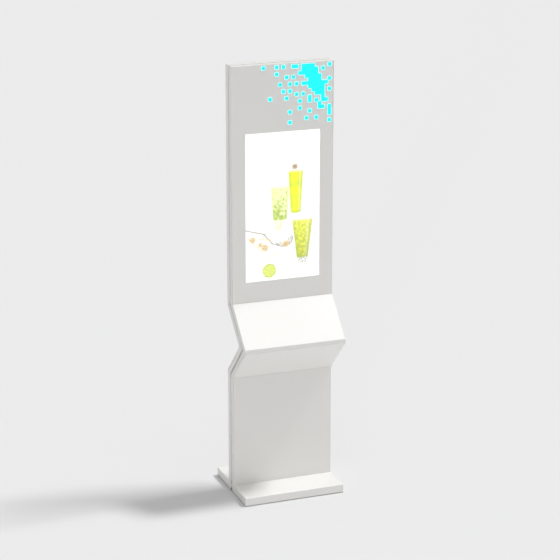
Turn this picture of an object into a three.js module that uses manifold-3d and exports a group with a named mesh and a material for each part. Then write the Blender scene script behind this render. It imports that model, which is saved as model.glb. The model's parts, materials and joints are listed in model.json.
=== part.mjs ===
// Touchscreen kiosk: a flat sheet-steel post that folds forward into a sloping console, on a low base.
// Millimetres. X runs across the kiosk, Y runs back from the viewer, Z is up. The group that this file
// exports has its origin on the floor, under the middle of the kiosk's outer box.

import * as THREE from 'three';
import { mergeVertices } from 'three/addons/utils/BufferGeometryUtils.js';
import Module from 'manifold-3d';

const wasm = await Module();
wasm.setup();

// ---------------------------------------------------------------- driving dimensions

// Post and console
const overallHeight = 2100;
const overallWidth = 505;
const postDepth = 80;
const consoleDepth = 72; // square to the console's slopes
const foldTop = 966; // height of the crease above the console
const foldReach = 175; // how far the nose stands in front of the post
const noseFace = 20;
const trayDepth = 33; // how far the front and rear trays wrap round the sides
const grooveRecess = 8.5; // how far the dark core lies inside the trays
const sheet = 2;
const sidePlate = 3;

// Base
const baseHeight = 42;
const baseFront = 170;
const baseRear = 252;
const basePlate = 6;
const floorStrip = 12;
const stripWidth = 24;
const stripInset = 40; // from a side plate's face to the end of a floor strip
const bracketLeg = [34, 42]; // foot and upright
const bracketInset = 6;
const grommetX = 150;
const grommetHole = 15;
const grommetLip = 3;
const coverLift = 3; // gap under the base covers
const cableNotchWidth = 20;
const cableNotchHeight = 13;

// Display
const windowWidth = 372;
const windowHeight = 714;
const windowSill = 100; // from the crease up to the window
const glassMargin = 12; // how far the glass passes the window all round
const gasketThickness = 1;
const glassThickness = 4;
const panelThickness = 12;
const panelBorder = [6, 4]; // how much wider and taller the panel is than the glass
const chassisDepth = 20;
const chassisBorder = 10; // how much smaller the rear cover is than the glass
const panDepth = 6;
const housingDepth = 14;
const housingShare = [0.66, 0.62]; // of the glass, the electronics box
const padShare = [0.4, 0.3]; // of the glass, the mounting pad

// Rails
const railDepth = 24;
const railHeight = 30;
const railAboveWindow = 60;
const railBelowWindow = 50;
const railBelowFold = 30;
const railBehindNose = 25;
const displayRailDepth = 15;
const displayRailWidth = 32;
const displayRailShare = 0.36; // of the window's width, from the middle to a rail

// Lit pixel field
const pixelPitch = 16.4;
const pixelTile = 16.1;
const pixelColumns = 21;
const pixelRows = 17;
const pixelMargin = 9;
const pixelSide = 12.4; // from the post's side to the field's last column
const lightPlate = 5;
const tileProud = 1.5; // how far the tiles stand out of the fascia
const fieldBorder = 4; // the light plate passes the outermost tiles by this much
const ledGap = 6; // from the light plate back to the board
const ledBoard = 2;
const ledInset = 6; // the board is this much smaller all round
const ledPostInset = 16;
const ledPostRadius = 3;
const pixelSeed = 280;

// How the lit cells crowd, in columns and rows
const crowdColumn = 13.4; // the crowd's middle in the top row
const crowdLean = 0.45; // how far the middle moves to the right for each row down
const crowdRow = 3;
const crowdWidth = 2.3;
const crowdHeight = 6.2;
const crowdShare = 1.5;
const strayRow = 6;
const strayWidth = 11;
const strayHeight = 9;
const strayShare = 0.5;

// Doors, hinges and locks
const doorGap = 2.5;
const ventWidth = 84;
const ventSlot = 4;
const ventRows = 6;
const ventPitch = 12;
const ventColumns = [-120, 0, 120];
const intakeRise = 130; // from the upper door's foot to the middle of its intake slots
const ventDrop = 90; // from the lower door's head to the middle of its slots
const exhaustRows = 8;
const exhaustPitch = 11;
const hingeEndClear = 20; // lowest and highest hinge stay this far inside the door's ends
const hingeLeaf = 56;
const hingeOut = 4; // from a side plate's face to the hinge's axis
const leafInset = 10; // a leaf stops this far short of its tray's edge
const topHingeDrop = 100;
const bottomHingeRise = 60;
const knuckleRadius = 3.5;
const hingePinRadius = 2;
const runningClearance = 0.06;
const lockInset = 37.5; // from the post's side to the lock's axis
const lockBodyRadius = 9.5;
const lockPlugRadius = 6;
const camReach = 22;
const camHalf = 5;
const camSetback = 22.5; // from the post's rear to the back of the cam
const lockFlange = 2;
const flangeRim = 3;
const lockNut = 4; // thickness and rim of the nut
const keySlotSize = [1.6, 3, 7]; // width, depth and height
const keeperWidth = 14;
const keeperHalf = 12;

// Fan
const fanSize = 92;
const fanDepth = 20;
const fanBladeTip = 41;
const fanBlades = 7;
const fanHub = 15;
const fanWall = 2; // from the blades' tips to the ring
const bladeChord = 20;
const bladeThickness = 1.6;
const bladePitch = 35; // degrees
const spiderDepth = 3;
const spiderHalf = 2;
const fanDrop = 190; // from the post's top to the fan's axis

// Inside the lower compartment
const supplySize = [110, 200, 42];
const supplyX = -125;
const supplyEar = [12, 20]; // how far the flange stands out, and stops short of the ends
const supplyVents = 9;
const supplyVentShare = 0.6;
const supplyHeadroom = 51; // from the power supply up to the lower rail
const leadRoom = 100; // from the mains panel up to the power supply
const panelHeight = 90;
const panelWidth = 240;
const playerSize = [200, 120, 35];
const playerShare = 0.3; // of the fold's reach, how far forward the player lies
const finFirst = 12;
const finPitch = 11;
const finGap = 6;
const finDepth = 4;

// Mains panel: fittings by their width and height, and places from the middle of the panel
const mainsX = 40;
const mainsFace = 52; // depth of the panel's face behind the post's front
const [inletX, switchX, jackX] = [-70, 10, 75];
const inletFlange = [50, 24];
const inletBody = [27, 19.6];
const inletSocket = [24, 16.6];
const inletDepth = 16;
const inletFloor = 4;
const pinSize = [2, 12, 3]; // width, length and height
const pinPlaces = [[-7, -2.5], [7, -2.5], [0, 1.5]];
const switchFlange = [33, 27];
const switchHole = [28, 22];
const rockerWell = [12.4, 21];
const switchDepth = 14;
const fittingWell = 11; // depth of the rocker's well and of the network socket
const rockerTilt = 8; // degrees
const jackFlange = [20, 18];
const jackBody = [16, 14];
const jackSocket = [11.8, 8];
const jackLatch = [6.5, 3];
const jackDepth = 16;
const flangeThickness = 2;

// Levelling feet
const footPadRadius = 18;
const footPadHeight = 5;
const footStudRadius = 5;
const footInset = 48; // from the base's side to a foot's axis
const footFromStrip = 4;
const nutRadius = 10;
const nutHeight = 8;
const studAbovePlate = 16;
const padChamfer = 1.5;

// Clearances
const seam = 0.3; // between sheet parts that meet
const slip = 0.3; // round a part that passes through a hole

// Sides of the round pieces
const postSides = 12;
const hingeSides = 20;
const roundSides = 24;
const fanSides = 36;

// ---------------------------------------------------------------- dependent dimensions

const halfWidth = overallWidth / 2;
const noseHeight = foldTop - foldReach - noseFace / 2;
const foldBottom = foldTop - 2 * foldReach - noseFace;
const slopeShare = consoleDepth / postDepth;
const grooveFront = trayDepth;
const grooveRear = postDepth - trayDepth;
const grooveMiddle = postDepth / 2;
const coreHalf = halfWidth - grooveRecess; // outer face of the side plates
const innerHalf = coreHalf - sidePlate - seam; // what fits between the side plates
const coreFront = sheet + seam;
const lipInner = coreHalf + sheet + 2 * seam; // how far in the trays' lips reach
const lipDrop = halfWidth - lipInner;
const coreRear = 10; // how far the side plates stop short of the post's rear
const plateBottom = floorStrip + seam;
const plateTop = plateBottom + basePlate;
const coreBottom = plateTop + seam;
const windowBottom = foldTop + windowSill;
const windowMiddle = windowBottom + windowHeight / 2;
const glassWidth = windowWidth + 2 * glassMargin;
const glassHeight = windowHeight + 2 * glassMargin;
const gasketFront = sheet + seam;
const glassFront = gasketFront + gasketThickness + seam;
const panelFront = glassFront + glassThickness + seam;
const chassisFront = panelFront + panelThickness + seam;
const chassisRear = chassisFront + chassisDepth;
const hingeX = coreHalf + hingeOut;
const lockX = -halfWidth + lockInset;
const upperDoorBottom = foldTop;
const lowerDoorTop = foldBottom;
const fanHeight = overallHeight - fanDrop;
const footX = halfWidth - footInset;
const originY = (baseRear - foldReach) / 2;

// ---------------------------------------------------------------- finishes

const finish = (color, roughness, metalness, extra = {}) => () =>
  new THREE.MeshStandardMaterial({ color, roughness, metalness, ...extra });
const whiteCoat = finish(0xdfdedb, 0.45, 0);
const darkCoat = finish(0x8e8d89, 0.6, 0);
const zincSteel = finish(0xaeb2b5, 0.4, 0.9);
const stainless = finish(0xc4c6c8, 0.3, 1);
const blackPlastic = finish(0x1c1d1f, 0.5, 0);
const rubber = finish(0x161616, 0.85, 0);
const foam = finish(0x222324, 0.9, 0);
const glass = finish(0xf4fbfb, 0.05, 0);
const litAcrylic = finish(0x18e0dc, 0.3, 0, { emissive: 0x18e0dc });
const circuitBoard = finish(0xe8ebea, 0.5, 0);
const aluminium = finish(0x9da1a4, 0.45, 0.9);
const cableJacket = finish(0x202020, 0.6, 0);

// ---------------------------------------------------------------- solid and shape helpers

function toSolid(geometry) {
  const bare = geometry.clone();
  bare.deleteAttribute('normal');
  bare.deleteAttribute('uv');
  const merged = mergeVertices(bare, 1e-4);
  const index = merged.index.array;
  const triangles = [];
  for (let i = 0; i < index.length; i += 3) {
    const [a, b, c] = [index[i], index[i + 1], index[i + 2]];
    if (a !== b && b !== c && a !== c) triangles.push(a, b, c);
  }
  const vertProperties = new Float32Array(merged.attributes.position.array);
  const triVerts = new Uint32Array(triangles);
  return new wasm.Manifold(new wasm.Mesh({ numProp: 3, vertProperties, triVerts }));
}

function toGeometry(solid) {
  const mesh = solid.getMesh();
  const geometry = new THREE.BufferGeometry();
  geometry.setAttribute('position', new THREE.BufferAttribute(mesh.vertProperties, 3));
  geometry.setIndex(new THREE.BufferAttribute(mesh.triVerts, 1));
  geometry.computeVertexNormals();
  return geometry;
}

const sum = (geometries) => geometries.map(toSolid).reduce((whole, piece) => whole.add(piece));
const join = (...geometries) => toGeometry(sum(geometries));
const cut = (body, ...cutters) => toGeometry(toSolid(body).subtract(sum(cutters)));

// A block between two opposite corners.
function block(x0, x1, y0, y1, z0, z1) {
  const geometry = new THREE.BoxGeometry(x1 - x0, y1 - y0, z1 - z0);
  return geometry.translate((x0 + x1) / 2, (y0 + y1) / 2, (z0 + z1) / 2);
}

// A round bar along Y or Z, by the middle of its axis.
function bar(axis, radius, length, [x, y, z], sides = roundSides) {
  const geometry = new THREE.CylinderGeometry(radius, radius, length, sides);
  if (axis === 'z') geometry.rotateX(Math.PI / 2);
  return geometry.translate(x, y, z);
}

// A turned piece round the Z axis, from [radius, height] pairs.
function turned(profile, segments = roundSides) {
  const points = profile.map(([radius, height]) => new THREE.Vector2(radius, height));
  return new THREE.LatheGeometry(points, segments).rotateX(Math.PI / 2);
}

function extrude(points, depth) {
  const shape = new THREE.Shape(points.map(([x, y]) => new THREE.Vector2(x, y)));
  return new THREE.ExtrudeGeometry(shape, { depth, bevelEnabled: false });
}

const axisX = new THREE.Vector3(1, 0, 0);
const axisY = new THREE.Vector3(0, 1, 0);
const axisZ = new THREE.Vector3(0, 0, 1);

// A [y, z] outline carried across the kiosk from x0 to x1.
function across(points, x0, x1) {
  const turn = new THREE.Matrix4().makeBasis(axisY, axisZ, axisX);
  return extrude(points, x1 - x0).applyMatrix4(turn).translate(x0, 0, 0);
}

// An [x, z] outline carried back from y0 to y1.
function along(points, y0, y1) {
  const turn = new THREE.Matrix4().makeBasis(axisX, axisZ, axisY.clone().negate());
  return extrude(points, y1 - y0).applyMatrix4(turn).translate(0, y1, 0);
}

const mirrored = (geometry) => {
  const index = geometry.index ? geometry.clone() : mergeVertices(geometry);
  index.scale(-1, 1, 1);
  const triangles = index.index.array;
  for (let i = 0; i < triangles.length; i += 3) {
    [triangles[i], triangles[i + 1]] = [triangles[i + 1], triangles[i]];
  }
  return index;
};

// A U-shaped channel outline: open towards +Y, its back on the Z axis.
function channel(depth, height, wall) {
  const half = height / 2;
  return [
    [0, -half], [depth, -half], [depth, -half + wall], [wall, -half + wall],
    [wall, half - wall], [depth, half - wall], [depth, half], [0, half],
  ];
}

const shifted = (points, dy, dz) => points.map(([y, z]) => [y + dy, z + dz]);

// The post's side line at a given depth behind its front face: the upright parts at one depth, the
// sloping parts at another, both square to the face. Points run from the top to the bottom.
function fold(upright, sloped, top = overallHeight, bottom = coverLift) {
  const rise = sloped * Math.SQRT2 - upright;
  const halfNose = Math.max(noseFace / 2 - rise, 0);
  const apex = sloped * Math.SQRT2 - foldReach - noseFace / 2;
  const noseY = halfNose > 0 ? upright - foldReach : apex;
  return [
    [upright, top], [upright, foldTop - rise], [noseY, noseHeight + halfNose],
    [noseY, noseHeight - halfNose], [upright, foldBottom + rise], [upright, bottom],
  ];
}

// The outline between the first and the last of some side lines, from one corner of the fold to another.
// The lines between them only bend its ends, so that neighbours keep the same mitre.
function strip(lines, from, to, clearFrom = 0, clearTo = 0) {
  const runs = lines.map((line) => {
    const points = line.slice(from, to + 1).map(([y, z]) => new THREE.Vector2(y, z));
    const kept = points.filter((point, i) => i === 0 || point.distanceTo(points[i - 1]) > 0.01);
    const last = kept.length - 1;
    const start = kept[1].clone().sub(kept[0]).setLength(clearFrom).add(kept[0]);
    const end = kept[last - 1].clone().sub(kept[last]).setLength(clearTo).add(kept[last]);
    return [start, ...kept.slice(1, last), end].map((point) => [point.x, point.y]);
  });
  const between = runs.slice(1, -1);
  const ends = between.map((run) => run.at(-1));
  const starts = between.map((run) => run[0]).reverse();
  return [...runs[0], ...ends, ...runs.at(-1).reverse(), ...starts];
}

// A side line that lies between two others, a sheet's thickness away from the first.
function sheetFrom(edge, inner) {
  const share = sheet / Math.abs(inner[0][0] - edge[0][0]);
  return edge.map(([y, z], i) => [y + (inner[i][0] - y) * share, z + (inner[i][1] - z) * share]);
}

// A folded tray: a face right across the kiosk, a return along each side edge, and a lip that turns in
// from each return and closes the groove's wall.
function tray(outer, inner, returnEdge, ...ends) {
  const wing = strip([outer, inner, returnEdge], ...ends);
  const lip = strip([sheetFrom(returnEdge, inner), returnEdge], ...ends);
  return join(
    across(strip([outer, inner], ...ends), -halfWidth, halfWidth),
    across(wing, -halfWidth, -halfWidth + sheet),
    across(wing, halfWidth - sheet, halfWidth),
    across(lip, -halfWidth, -lipInner),
    across(lip, lipInner, halfWidth),
  );
}

const frontTray = (...ends) =>
  tray(fold(0, 0), fold(sheet, sheet), fold(trayDepth, trayDepth * slopeShare), ...ends);

function rearTray(bottom, ...ends) {
  const outer = fold(postDepth, consoleDepth, overallHeight, bottom);
  const inner = fold(postDepth - sheet, consoleDepth - sheet, overallHeight, bottom);
  const edge = fold(grooveRear, grooveRear * slopeShare, overallHeight, bottom);
  return tray(outer, inner, edge, ...ends);
}

// Blocks that cut the cable notches at the foot of both sides.
const cableNotch = () => block(
  -overallWidth, overallWidth, grooveMiddle - cableNotchWidth / 2, grooveMiddle + cableNotchWidth / 2,
  -cableNotchHeight, cableNotchHeight,
);

// A row of ventilation slots, one above another.
function slotRow(count, width, height, pitch, x, z, y0, y1) {
  const slots = [];
  for (let i = 0; i < count; i += 1) {
    const middle = z + (i - (count - 1) / 2) * pitch;
    slots.push(block(x - width / 2, x + width / 2, y0, y1, middle - height / 2, middle + height / 2));
  }
  return slots;
}

// ---------------------------------------------------------------- assembly

const kiosk = new THREE.Group();
kiosk.position.y = -originY;

function addPart(group, name, geometry, material) {
  const mesh = new THREE.Mesh(geometry, material());
  mesh.name = name;
  group.add(mesh);
  return mesh;
}

// ---------------------------------------------------------------- lit pixel field

// The lit cells crowd round a line that leans down to the right, and thin out to the left and below.
function litCells() {
  let state = pixelSeed;
  const draw = () => {
    state = (state * 48271) % 2147483647;
    return state / 2147483647;
  };
  const bell = (value, width) => Math.exp(-((value / width) ** 2));
  const cells = [];
  for (let row = 0; row < pixelRows; row += 1) {
    for (let column = 0; column < pixelColumns; column += 1) {
      const aside = column - (crowdColumn + crowdLean * row);
      const crowd = crowdShare * bell(aside, crowdWidth) * bell(row - crowdRow, crowdHeight);
      const stray = strayShare * bell(aside, strayWidth) * bell(row - strayRow, strayHeight);
      const alone = cells.every(([c, r]) => Math.abs(c - column) > 1 || Math.abs(r - row) > 1);
      const chance = draw();
      if (chance < crowd || (alone && chance < stray)) cells.push([column, row]);
    }
  }
  return withoutIslands(cells);
}

// Unlit cells that lit ones close in are lit as well, so that the face keeps no loose island.
function withoutIslands(cells) {
  const key = (column, row) => `${column} ${row}`;
  const lit = new Set(cells.map(([column, row]) => key(column, row)));
  const reached = new Set();
  const next = [[-1, -1]];
  while (next.length > 0) {
    const [column, row] = next.pop();
    const outside = Math.min(column, row) < -1 || column > pixelColumns || row > pixelRows;
    if (outside || lit.has(key(column, row)) || reached.has(key(column, row))) continue;
    reached.add(key(column, row));
    next.push([column + 1, row], [column - 1, row], [column, row + 1], [column, row - 1]);
  }
  const closed = [];
  for (let row = 0; row < pixelRows; row += 1) {
    for (let column = 0; column < pixelColumns; column += 1) {
      if (!reached.has(key(column, row))) closed.push([column, row]);
    }
  }
  return closed;
}

const pixelRight = halfWidth - pixelSide;
const pixelTop = overallHeight - pixelMargin;

const pixelBlocks = (size, y0, y1) => litCells().map(([column, row]) => {
  const x = pixelRight - (pixelColumns - column - 0.5) * pixelPitch;
  const z = pixelTop - (row + 0.5) * pixelPitch;
  return block(x - size / 2, x + size / 2, y0, y1, z - size / 2, z + size / 2);
});

// ---------------------------------------------------------------- front skins

const topLip = (y) =>
  block(-halfWidth, halfWidth, y, y + sheet, overallHeight - lipDrop, overallHeight);

function displayFascia() {
  const top = block(-halfWidth, halfWidth, 0, trayDepth, overallHeight - sheet, overallHeight);
  const blank = join(frontTray(0, 1, 0, seam / 2), top, topLip(trayDepth - sheet));
  const opening = block(
    -windowWidth / 2, windowWidth / 2, -sheet, 2 * sheet, windowBottom, windowBottom + windowHeight,
  );
  return cut(blank, opening, ...pixelBlocks(pixelTile + 2 * slip, -sheet, 2 * sheet));
}

// The face stops above the base plate, and the returns run on down to the floor beside it.
function lowerFrontPanel() {
  const foot = block(-halfWidth + sheet, halfWidth - sheet, -sheet, 2 * sheet, 0, coreBottom);
  return cut(frontTray(4, 5, seam / 2, 0), foot, cableNotch());
}

addPart(kiosk, 'display_fascia', displayFascia(), whiteCoat);
addPart(kiosk, 'console_deck', frontTray(1, 3, seam / 2, seam / 2), whiteCoat);
addPart(kiosk, 'console_soffit', frontTray(3, 4, seam / 2, seam / 2), whiteCoat);
addPart(kiosk, 'lower_front_panel', lowerFrontPanel(), whiteCoat);

// ---------------------------------------------------------------- core frame

const coreTop = overallHeight - grooveRecess - sidePlate;
const topLap = 12; // how far the top plate reaches under the front tray's edge

function sidePlateGeometry() {
  const front = fold(coreFront, coreFront, coreTop - seam, coreBottom);
  const rear = fold(postDepth - coreRear, consoleDepth - coreRear, coreTop - seam, coreBottom);
  return across(strip([front, rear], 0, 5), coreHalf - sidePlate, coreHalf);
}

addPart(kiosk, 'right_side_plate', sidePlateGeometry(), darkCoat);
addPart(kiosk, 'left_side_plate', mirrored(sidePlateGeometry()), darkCoat);
addPart(
  kiosk, 'top_plate',
  block(-coreHalf, coreHalf, grooveFront - topLap, postDepth - coreRear, coreTop, coreTop + sidePlate),
  darkCoat,
);

const railFront = chassisRear + seam;
const crossRail = (y, z) =>
  across(shifted(channel(railDepth, railHeight, sheet), y, z), -innerHalf, innerHalf);
const topRailZ = windowBottom + windowHeight + railAboveWindow;
const upperRailZ = windowBottom - railBelowWindow;
const lowerRailZ = foldBottom - railBelowFold;
addPart(kiosk, 'top_rail', crossRail(railFront, topRailZ), zincSteel);
addPart(kiosk, 'upper_rail', crossRail(railFront, upperRailZ), zincSteel);
addPart(kiosk, 'console_rail', crossRail(railBehindNose - foldReach, noseHeight), zincSteel);
addPart(kiosk, 'lower_rail', crossRail(railFront, lowerRailZ), zincSteel);

addPart(kiosk, 'rear_slope_upper', rearTray(0, 1, 3, seam / 2, seam / 2), whiteCoat);
addPart(kiosk, 'rear_slope_lower', rearTray(0, 3, 4, seam / 2, seam / 2), whiteCoat);

// ---------------------------------------------------------------- display stack

function frame(innerWidth, innerHeight, border, y0, y1) {
  const [w, h] = [innerWidth / 2, innerHeight / 2];
  const outer = block(-w - border, w + border, y0, y1, -h - border, h + border);
  return cut(outer, block(-w, w, y0 - 1, y1 + 1, -h, h)).translate(0, 0, windowMiddle);
}

function windowSlab(width, height, y0, depth) {
  return block(-width / 2, width / 2, y0, y0 + depth, windowMiddle - height / 2, windowMiddle + height / 2);
}

// The panel's rear cover: a shallow pan with a raised electronics box and a mounting pad.
function chassis() {
  const pan = windowSlab(glassWidth - chassisBorder, glassHeight - chassisBorder, chassisFront, panDepth);
  const share = ([wide, high], depth) =>
    windowSlab(glassWidth * wide, glassHeight * high, chassisFront, depth);
  const housing = share(housingShare, housingDepth);
  const pad = share(padShare, chassisDepth);
  return join(pan, housing, pad);
}

addPart(
  kiosk, 'display_gasket',
  frame(
    windowWidth + sheet, windowHeight + sheet, glassMargin - sheet,
    gasketFront, gasketFront + gasketThickness,
  ),
  foam,
);
addPart(kiosk, 'touch_glass', windowSlab(glassWidth, glassHeight, glassFront, glassThickness), glass);
addPart(
  kiosk, 'lcd_panel',
  windowSlab(glassWidth + panelBorder[0], glassHeight + panelBorder[1], panelFront, panelThickness),
  blackPlastic,
);
addPart(kiosk, 'lcd_chassis', chassis(), zincSteel);

// Upright rails that carry the display between the two cross rails.
const displayRailFoot = upperRailZ + railHeight / 2 + seam;
const displayRailHead = topRailZ - railHeight / 2 - seam;

function displayRail(x) {
  const outline = channel(displayRailDepth, displayRailWidth, sheet)
    .map(([depth, aside]) => [aside + x, depth + railFront]);
  const upright = extrude(outline, displayRailHead - displayRailFoot);
  return upright.translate(0, 0, displayRailFoot);
}

addPart(kiosk, 'display_rail_right', displayRail(windowWidth * displayRailShare), zincSteel);
addPart(kiosk, 'display_rail_left', displayRail(-windowWidth * displayRailShare), zincSteel);

// ---------------------------------------------------------------- pixel light

const lightFront = sheet + seam;
const fieldLeft = pixelRight - pixelColumns * pixelPitch - fieldBorder;
const fieldRight = innerHalf;
const fieldBottom = pixelTop - pixelRows * pixelPitch - fieldBorder;
const fieldTop = overallHeight - sheet - seam;

function pixelLightPlate() {
  const plate = block(fieldLeft, fieldRight, lightFront, lightFront + lightPlate, fieldBottom, fieldTop);
  return join(plate, ...pixelBlocks(pixelTile, -tileProud, lightFront + lightPlate / 2));
}

function pixelLedBoard() {
  const front = lightFront + lightPlate + seam;
  const board = block(
    fieldLeft + ledInset, fieldRight - ledInset, front + ledGap, front + ledGap + ledBoard,
    fieldBottom + ledInset, fieldTop - ledInset,
  );
  const reach = ledGap + ledBoard / 2;
  const post = (x, z) => bar('y', ledPostRadius, reach, [x, front + reach / 2, z], postSides);
  const xs = [fieldLeft + ledPostInset, fieldRight - ledPostInset];
  const zs = [fieldBottom + ledPostInset, fieldTop - ledPostInset];
  return join(board, ...xs.flatMap((x) => zs.map((z) => post(x, z))));
}

addPart(kiosk, 'pixel_light_plate', pixelLightPlate(), litAcrylic);
addPart(kiosk, 'pixel_led_board', pixelLedBoard(), circuitBoard);

// ---------------------------------------------------------------- hinges

// A lift-off hinge: the fixed leaf carries the lower knuckle and the pin, the door leaf the upper knuckle.
function fixedLeaf() {
  const half = hingeLeaf / 2;
  const knuckle = half - slip / 2;
  const left = coreHalf + slip - hingeX;
  const leaf = block(left, left + sheet, leafInset - grooveMiddle, -knuckleRadius - slip, -half, half);
  const tongue = block(left, left + sheet, -knuckleRadius - 1, 0, -half, -slip / 2);
  return join(
    leaf, tongue,
    bar('z', knuckleRadius, knuckle, [0, 0, -half + knuckle / 2], hingeSides),
    bar('z', hingePinRadius, half, [0, 0, half / 2 - knuckleRadius], hingeSides),
  );
}

function doorLeaf() {
  const half = hingeLeaf / 2;
  const knuckle = half - slip / 2;
  const right = halfWidth - sheet - slip - hingeX;
  const leaf = block(right - sheet, right, knuckleRadius + slip, grooveMiddle - leafInset, -half, half);
  const tongue = block(right - sheet, right, 0, knuckleRadius + 1, slip / 2, half);
  const bore = (hingePinRadius + runningClearance) / Math.cos(Math.PI / hingeSides);
  return cut(
    join(leaf, tongue, bar('z', knuckleRadius, knuckle, [0, 0, half - knuckle / 2], hingeSides)),
    bar('z', bore, hingeLeaf * 2, [0, 0, 0], hingeSides),
  );
}

function hingePair(name, z) {
  const seat = new THREE.Group();
  seat.position.set(hingeX, grooveMiddle, z);
  kiosk.add(seat);
  addPart(seat, `${name}_fixed`, fixedLeaf(), stainless);
  addPart(seat, `${name}_leaf`, doorLeaf(), stainless);
}

const hingeInset = hingeLeaf / 2 + hingeEndClear;
const upperHingeZ = [
  overallHeight - topHingeDrop - hingeInset,
  upperDoorBottom + bottomHingeRise + hingeInset,
];
const lowerHingeZ = [lowerDoorTop - hingeInset, baseHeight + doorGap + hingeInset];
hingePair('upper_door_hinge_top', upperHingeZ[0]);
hingePair('upper_door_hinge_bottom', upperHingeZ[1]);
hingePair('lower_door_hinge_top', lowerHingeZ[0]);
hingePair('lower_door_hinge_bottom', lowerHingeZ[1]);

// Room for the door leaves through the lip that they pass.
const hingeNotches = (heights) => heights.map((z) => block(
  coreHalf, halfWidth - sheet, grooveRear - sheet, grooveRear + 2 * sheet,
  z - hingeLeaf / 2 - slip, z + hingeLeaf / 2 + slip,
));

// ---------------------------------------------------------------- locks

const lockHole = (z) => bar('y', lockBodyRadius + slip, 4 * sheet, [lockX, postDepth, z]);
const camBack = postDepth - camSetback;

// The lock's barrel: a flange outside the door, a threaded body through it and a nut behind it.
function lockBody() {
  const bodyFront = camBack + slip;
  const outside = postDepth + slip;
  const length = outside + lockFlange - bodyFront;
  const nutFront = postDepth - sheet - slip - lockNut;
  const bore = (lockPlugRadius + runningClearance) / Math.cos(Math.PI / roundSides);
  return cut(
    join(
      bar('y', lockBodyRadius, length, [0, bodyFront + length / 2, 0]),
      bar('y', lockBodyRadius + flangeRim, lockFlange, [0, outside + lockFlange / 2, 0]),
      bar('y', lockBodyRadius + lockNut, lockNut, [0, nutFront + lockNut / 2, 0], 6),
    ),
    bar('y', bore, 3 * postDepth, [0, postDepth, 0]),
  );
}

// The turning plug, with its key slot outside and its cam inside. At rest the cam points down.
function lockPlug() {
  const front = camBack - sheet;
  const length = postDepth + lockFlange - front;
  const plug = bar('y', lockPlugRadius, length, [0, front + length / 2, 0]);
  const [slotWidth, slotDepth, slotHeight] = keySlotSize;
  const keySlot = block(
    -slotWidth / 2, slotWidth / 2, front + length - slotDepth, front + length + lockFlange,
    -slotHeight / 2, slotHeight / 2,
  );
  const camOutline = [[-camHalf, -camReach], [camHalf, -camReach], [camHalf, camHalf], [-camHalf, camHalf]];
  return cut(join(plug, along(camOutline, front, camBack)), keySlot);
}

// The keeper that the cam turns behind: an angle on the side plate.
function lockKeeper() {
  const hook = camBack + sheet / 2;
  const left = -innerHalf - lockX;
  return join(
    block(left, left + keeperWidth, hook, hook + sheet, -keeperHalf, keeperHalf),
    block(left, left + sheet, hook - keeperWidth, hook + sheet, -keeperHalf, keeperHalf),
  );
}

function lockSet(name, z) {
  const seat = new THREE.Group();
  seat.position.set(lockX, 0, z);
  kiosk.add(seat);
  addPart(seat, `${name}_lock_body`, lockBody(), stainless);
  addPart(seat, `${name}_lock_plug`, lockPlug(), stainless);
  addPart(seat, `${name}_lock_keeper`, lockKeeper(), zincSteel);
}

const upperLockZ = (overallHeight + upperDoorBottom) / 2;
const lowerLockZ = (lowerDoorTop + baseHeight) / 2;
lockSet('upper', upperLockZ);
lockSet('lower', lowerLockZ);

// ---------------------------------------------------------------- rear doors

const doorSkin = [postDepth - 2 * sheet, postDepth + sheet];
const ventField = (z) =>
  ventColumns.flatMap((x) => slotRow(ventRows, ventWidth, ventSlot, ventPitch, x, z, ...doorSkin));

function upperDoor() {
  const top = block(-halfWidth, halfWidth, grooveRear, postDepth, overallHeight - sheet, overallHeight);
  const intakeZ = upperDoorBottom + intakeRise;
  const vents = ventField(intakeZ);
  const exhaust = slotRow(exhaustRows, ventWidth, ventSlot, exhaustPitch, 0, fanHeight, ...doorSkin);
  return cut(
    join(rearTray(0, 0, 1, 0, doorGap), top, topLip(grooveRear)),
    ...vents, ...exhaust, lockHole(upperLockZ), ...hingeNotches(upperHingeZ),
  );
}

function lowerDoor() {
  const sill = baseHeight + doorGap;
  const vents = ventField(lowerDoorTop - ventDrop);
  return cut(
    rearTray(sill, 4, 5, doorGap, 0),
    ...vents, lockHole(lowerLockZ), ...hingeNotches(lowerHingeZ),
  );
}

addPart(kiosk, 'upper_rear_door', upperDoor(), whiteCoat);
addPart(kiosk, 'lower_rear_door', lowerDoor(), whiteCoat);

// ---------------------------------------------------------------- exhaust fan

const fan = new THREE.Group();
fan.position.set(0, postDepth - sheet - seam - fanDepth / 2, fanHeight);
kiosk.add(fan);

function fanFrame() {
  const half = fanSize / 2;
  const shell = block(-half, half, -fanDepth / 2, fanDepth / 2, -half, half);
  const ring = cut(shell, bar('y', fanBladeTip + fanWall, 2 * fanDepth, [0, 0, 0], fanSides));
  const back = [fanDepth / 2 - spiderDepth, fanDepth / 2];
  const reach = fanBladeTip + 2 * fanWall;
  return join(
    ring,
    bar('y', fanHub + 1, spiderDepth, [0, (fanDepth - spiderDepth) / 2, 0]),
    block(-reach, reach, ...back, -spiderHalf, spiderHalf),
    block(-spiderHalf, spiderHalf, ...back, -reach, reach),
  );
}

function fanRotor() {
  const front = 1 - fanDepth / 2;
  const depth = fanDepth - spiderDepth - 2;
  const root = fanHub - bladeThickness;
  const pieces = [bar('y', fanHub, depth, [0, front + depth / 2, 0])];
  for (let i = 0; i < fanBlades; i += 1) {
    const blade = new THREE.BoxGeometry(fanBladeTip - root, bladeThickness, bladeChord);
    blade.rotateX(THREE.MathUtils.degToRad(bladePitch));
    blade.translate((fanBladeTip + root) / 2, front + depth / 2, 0);
    blade.rotateY((i * 2 * Math.PI) / fanBlades);
    pieces.push(blade);
  }
  return join(...pieces);
}

addPart(fan, 'fan_frame', fanFrame(), blackPlastic);
addPart(fan, 'fan_rotor', fanRotor(), blackPlastic);

// ---------------------------------------------------------------- base

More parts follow.
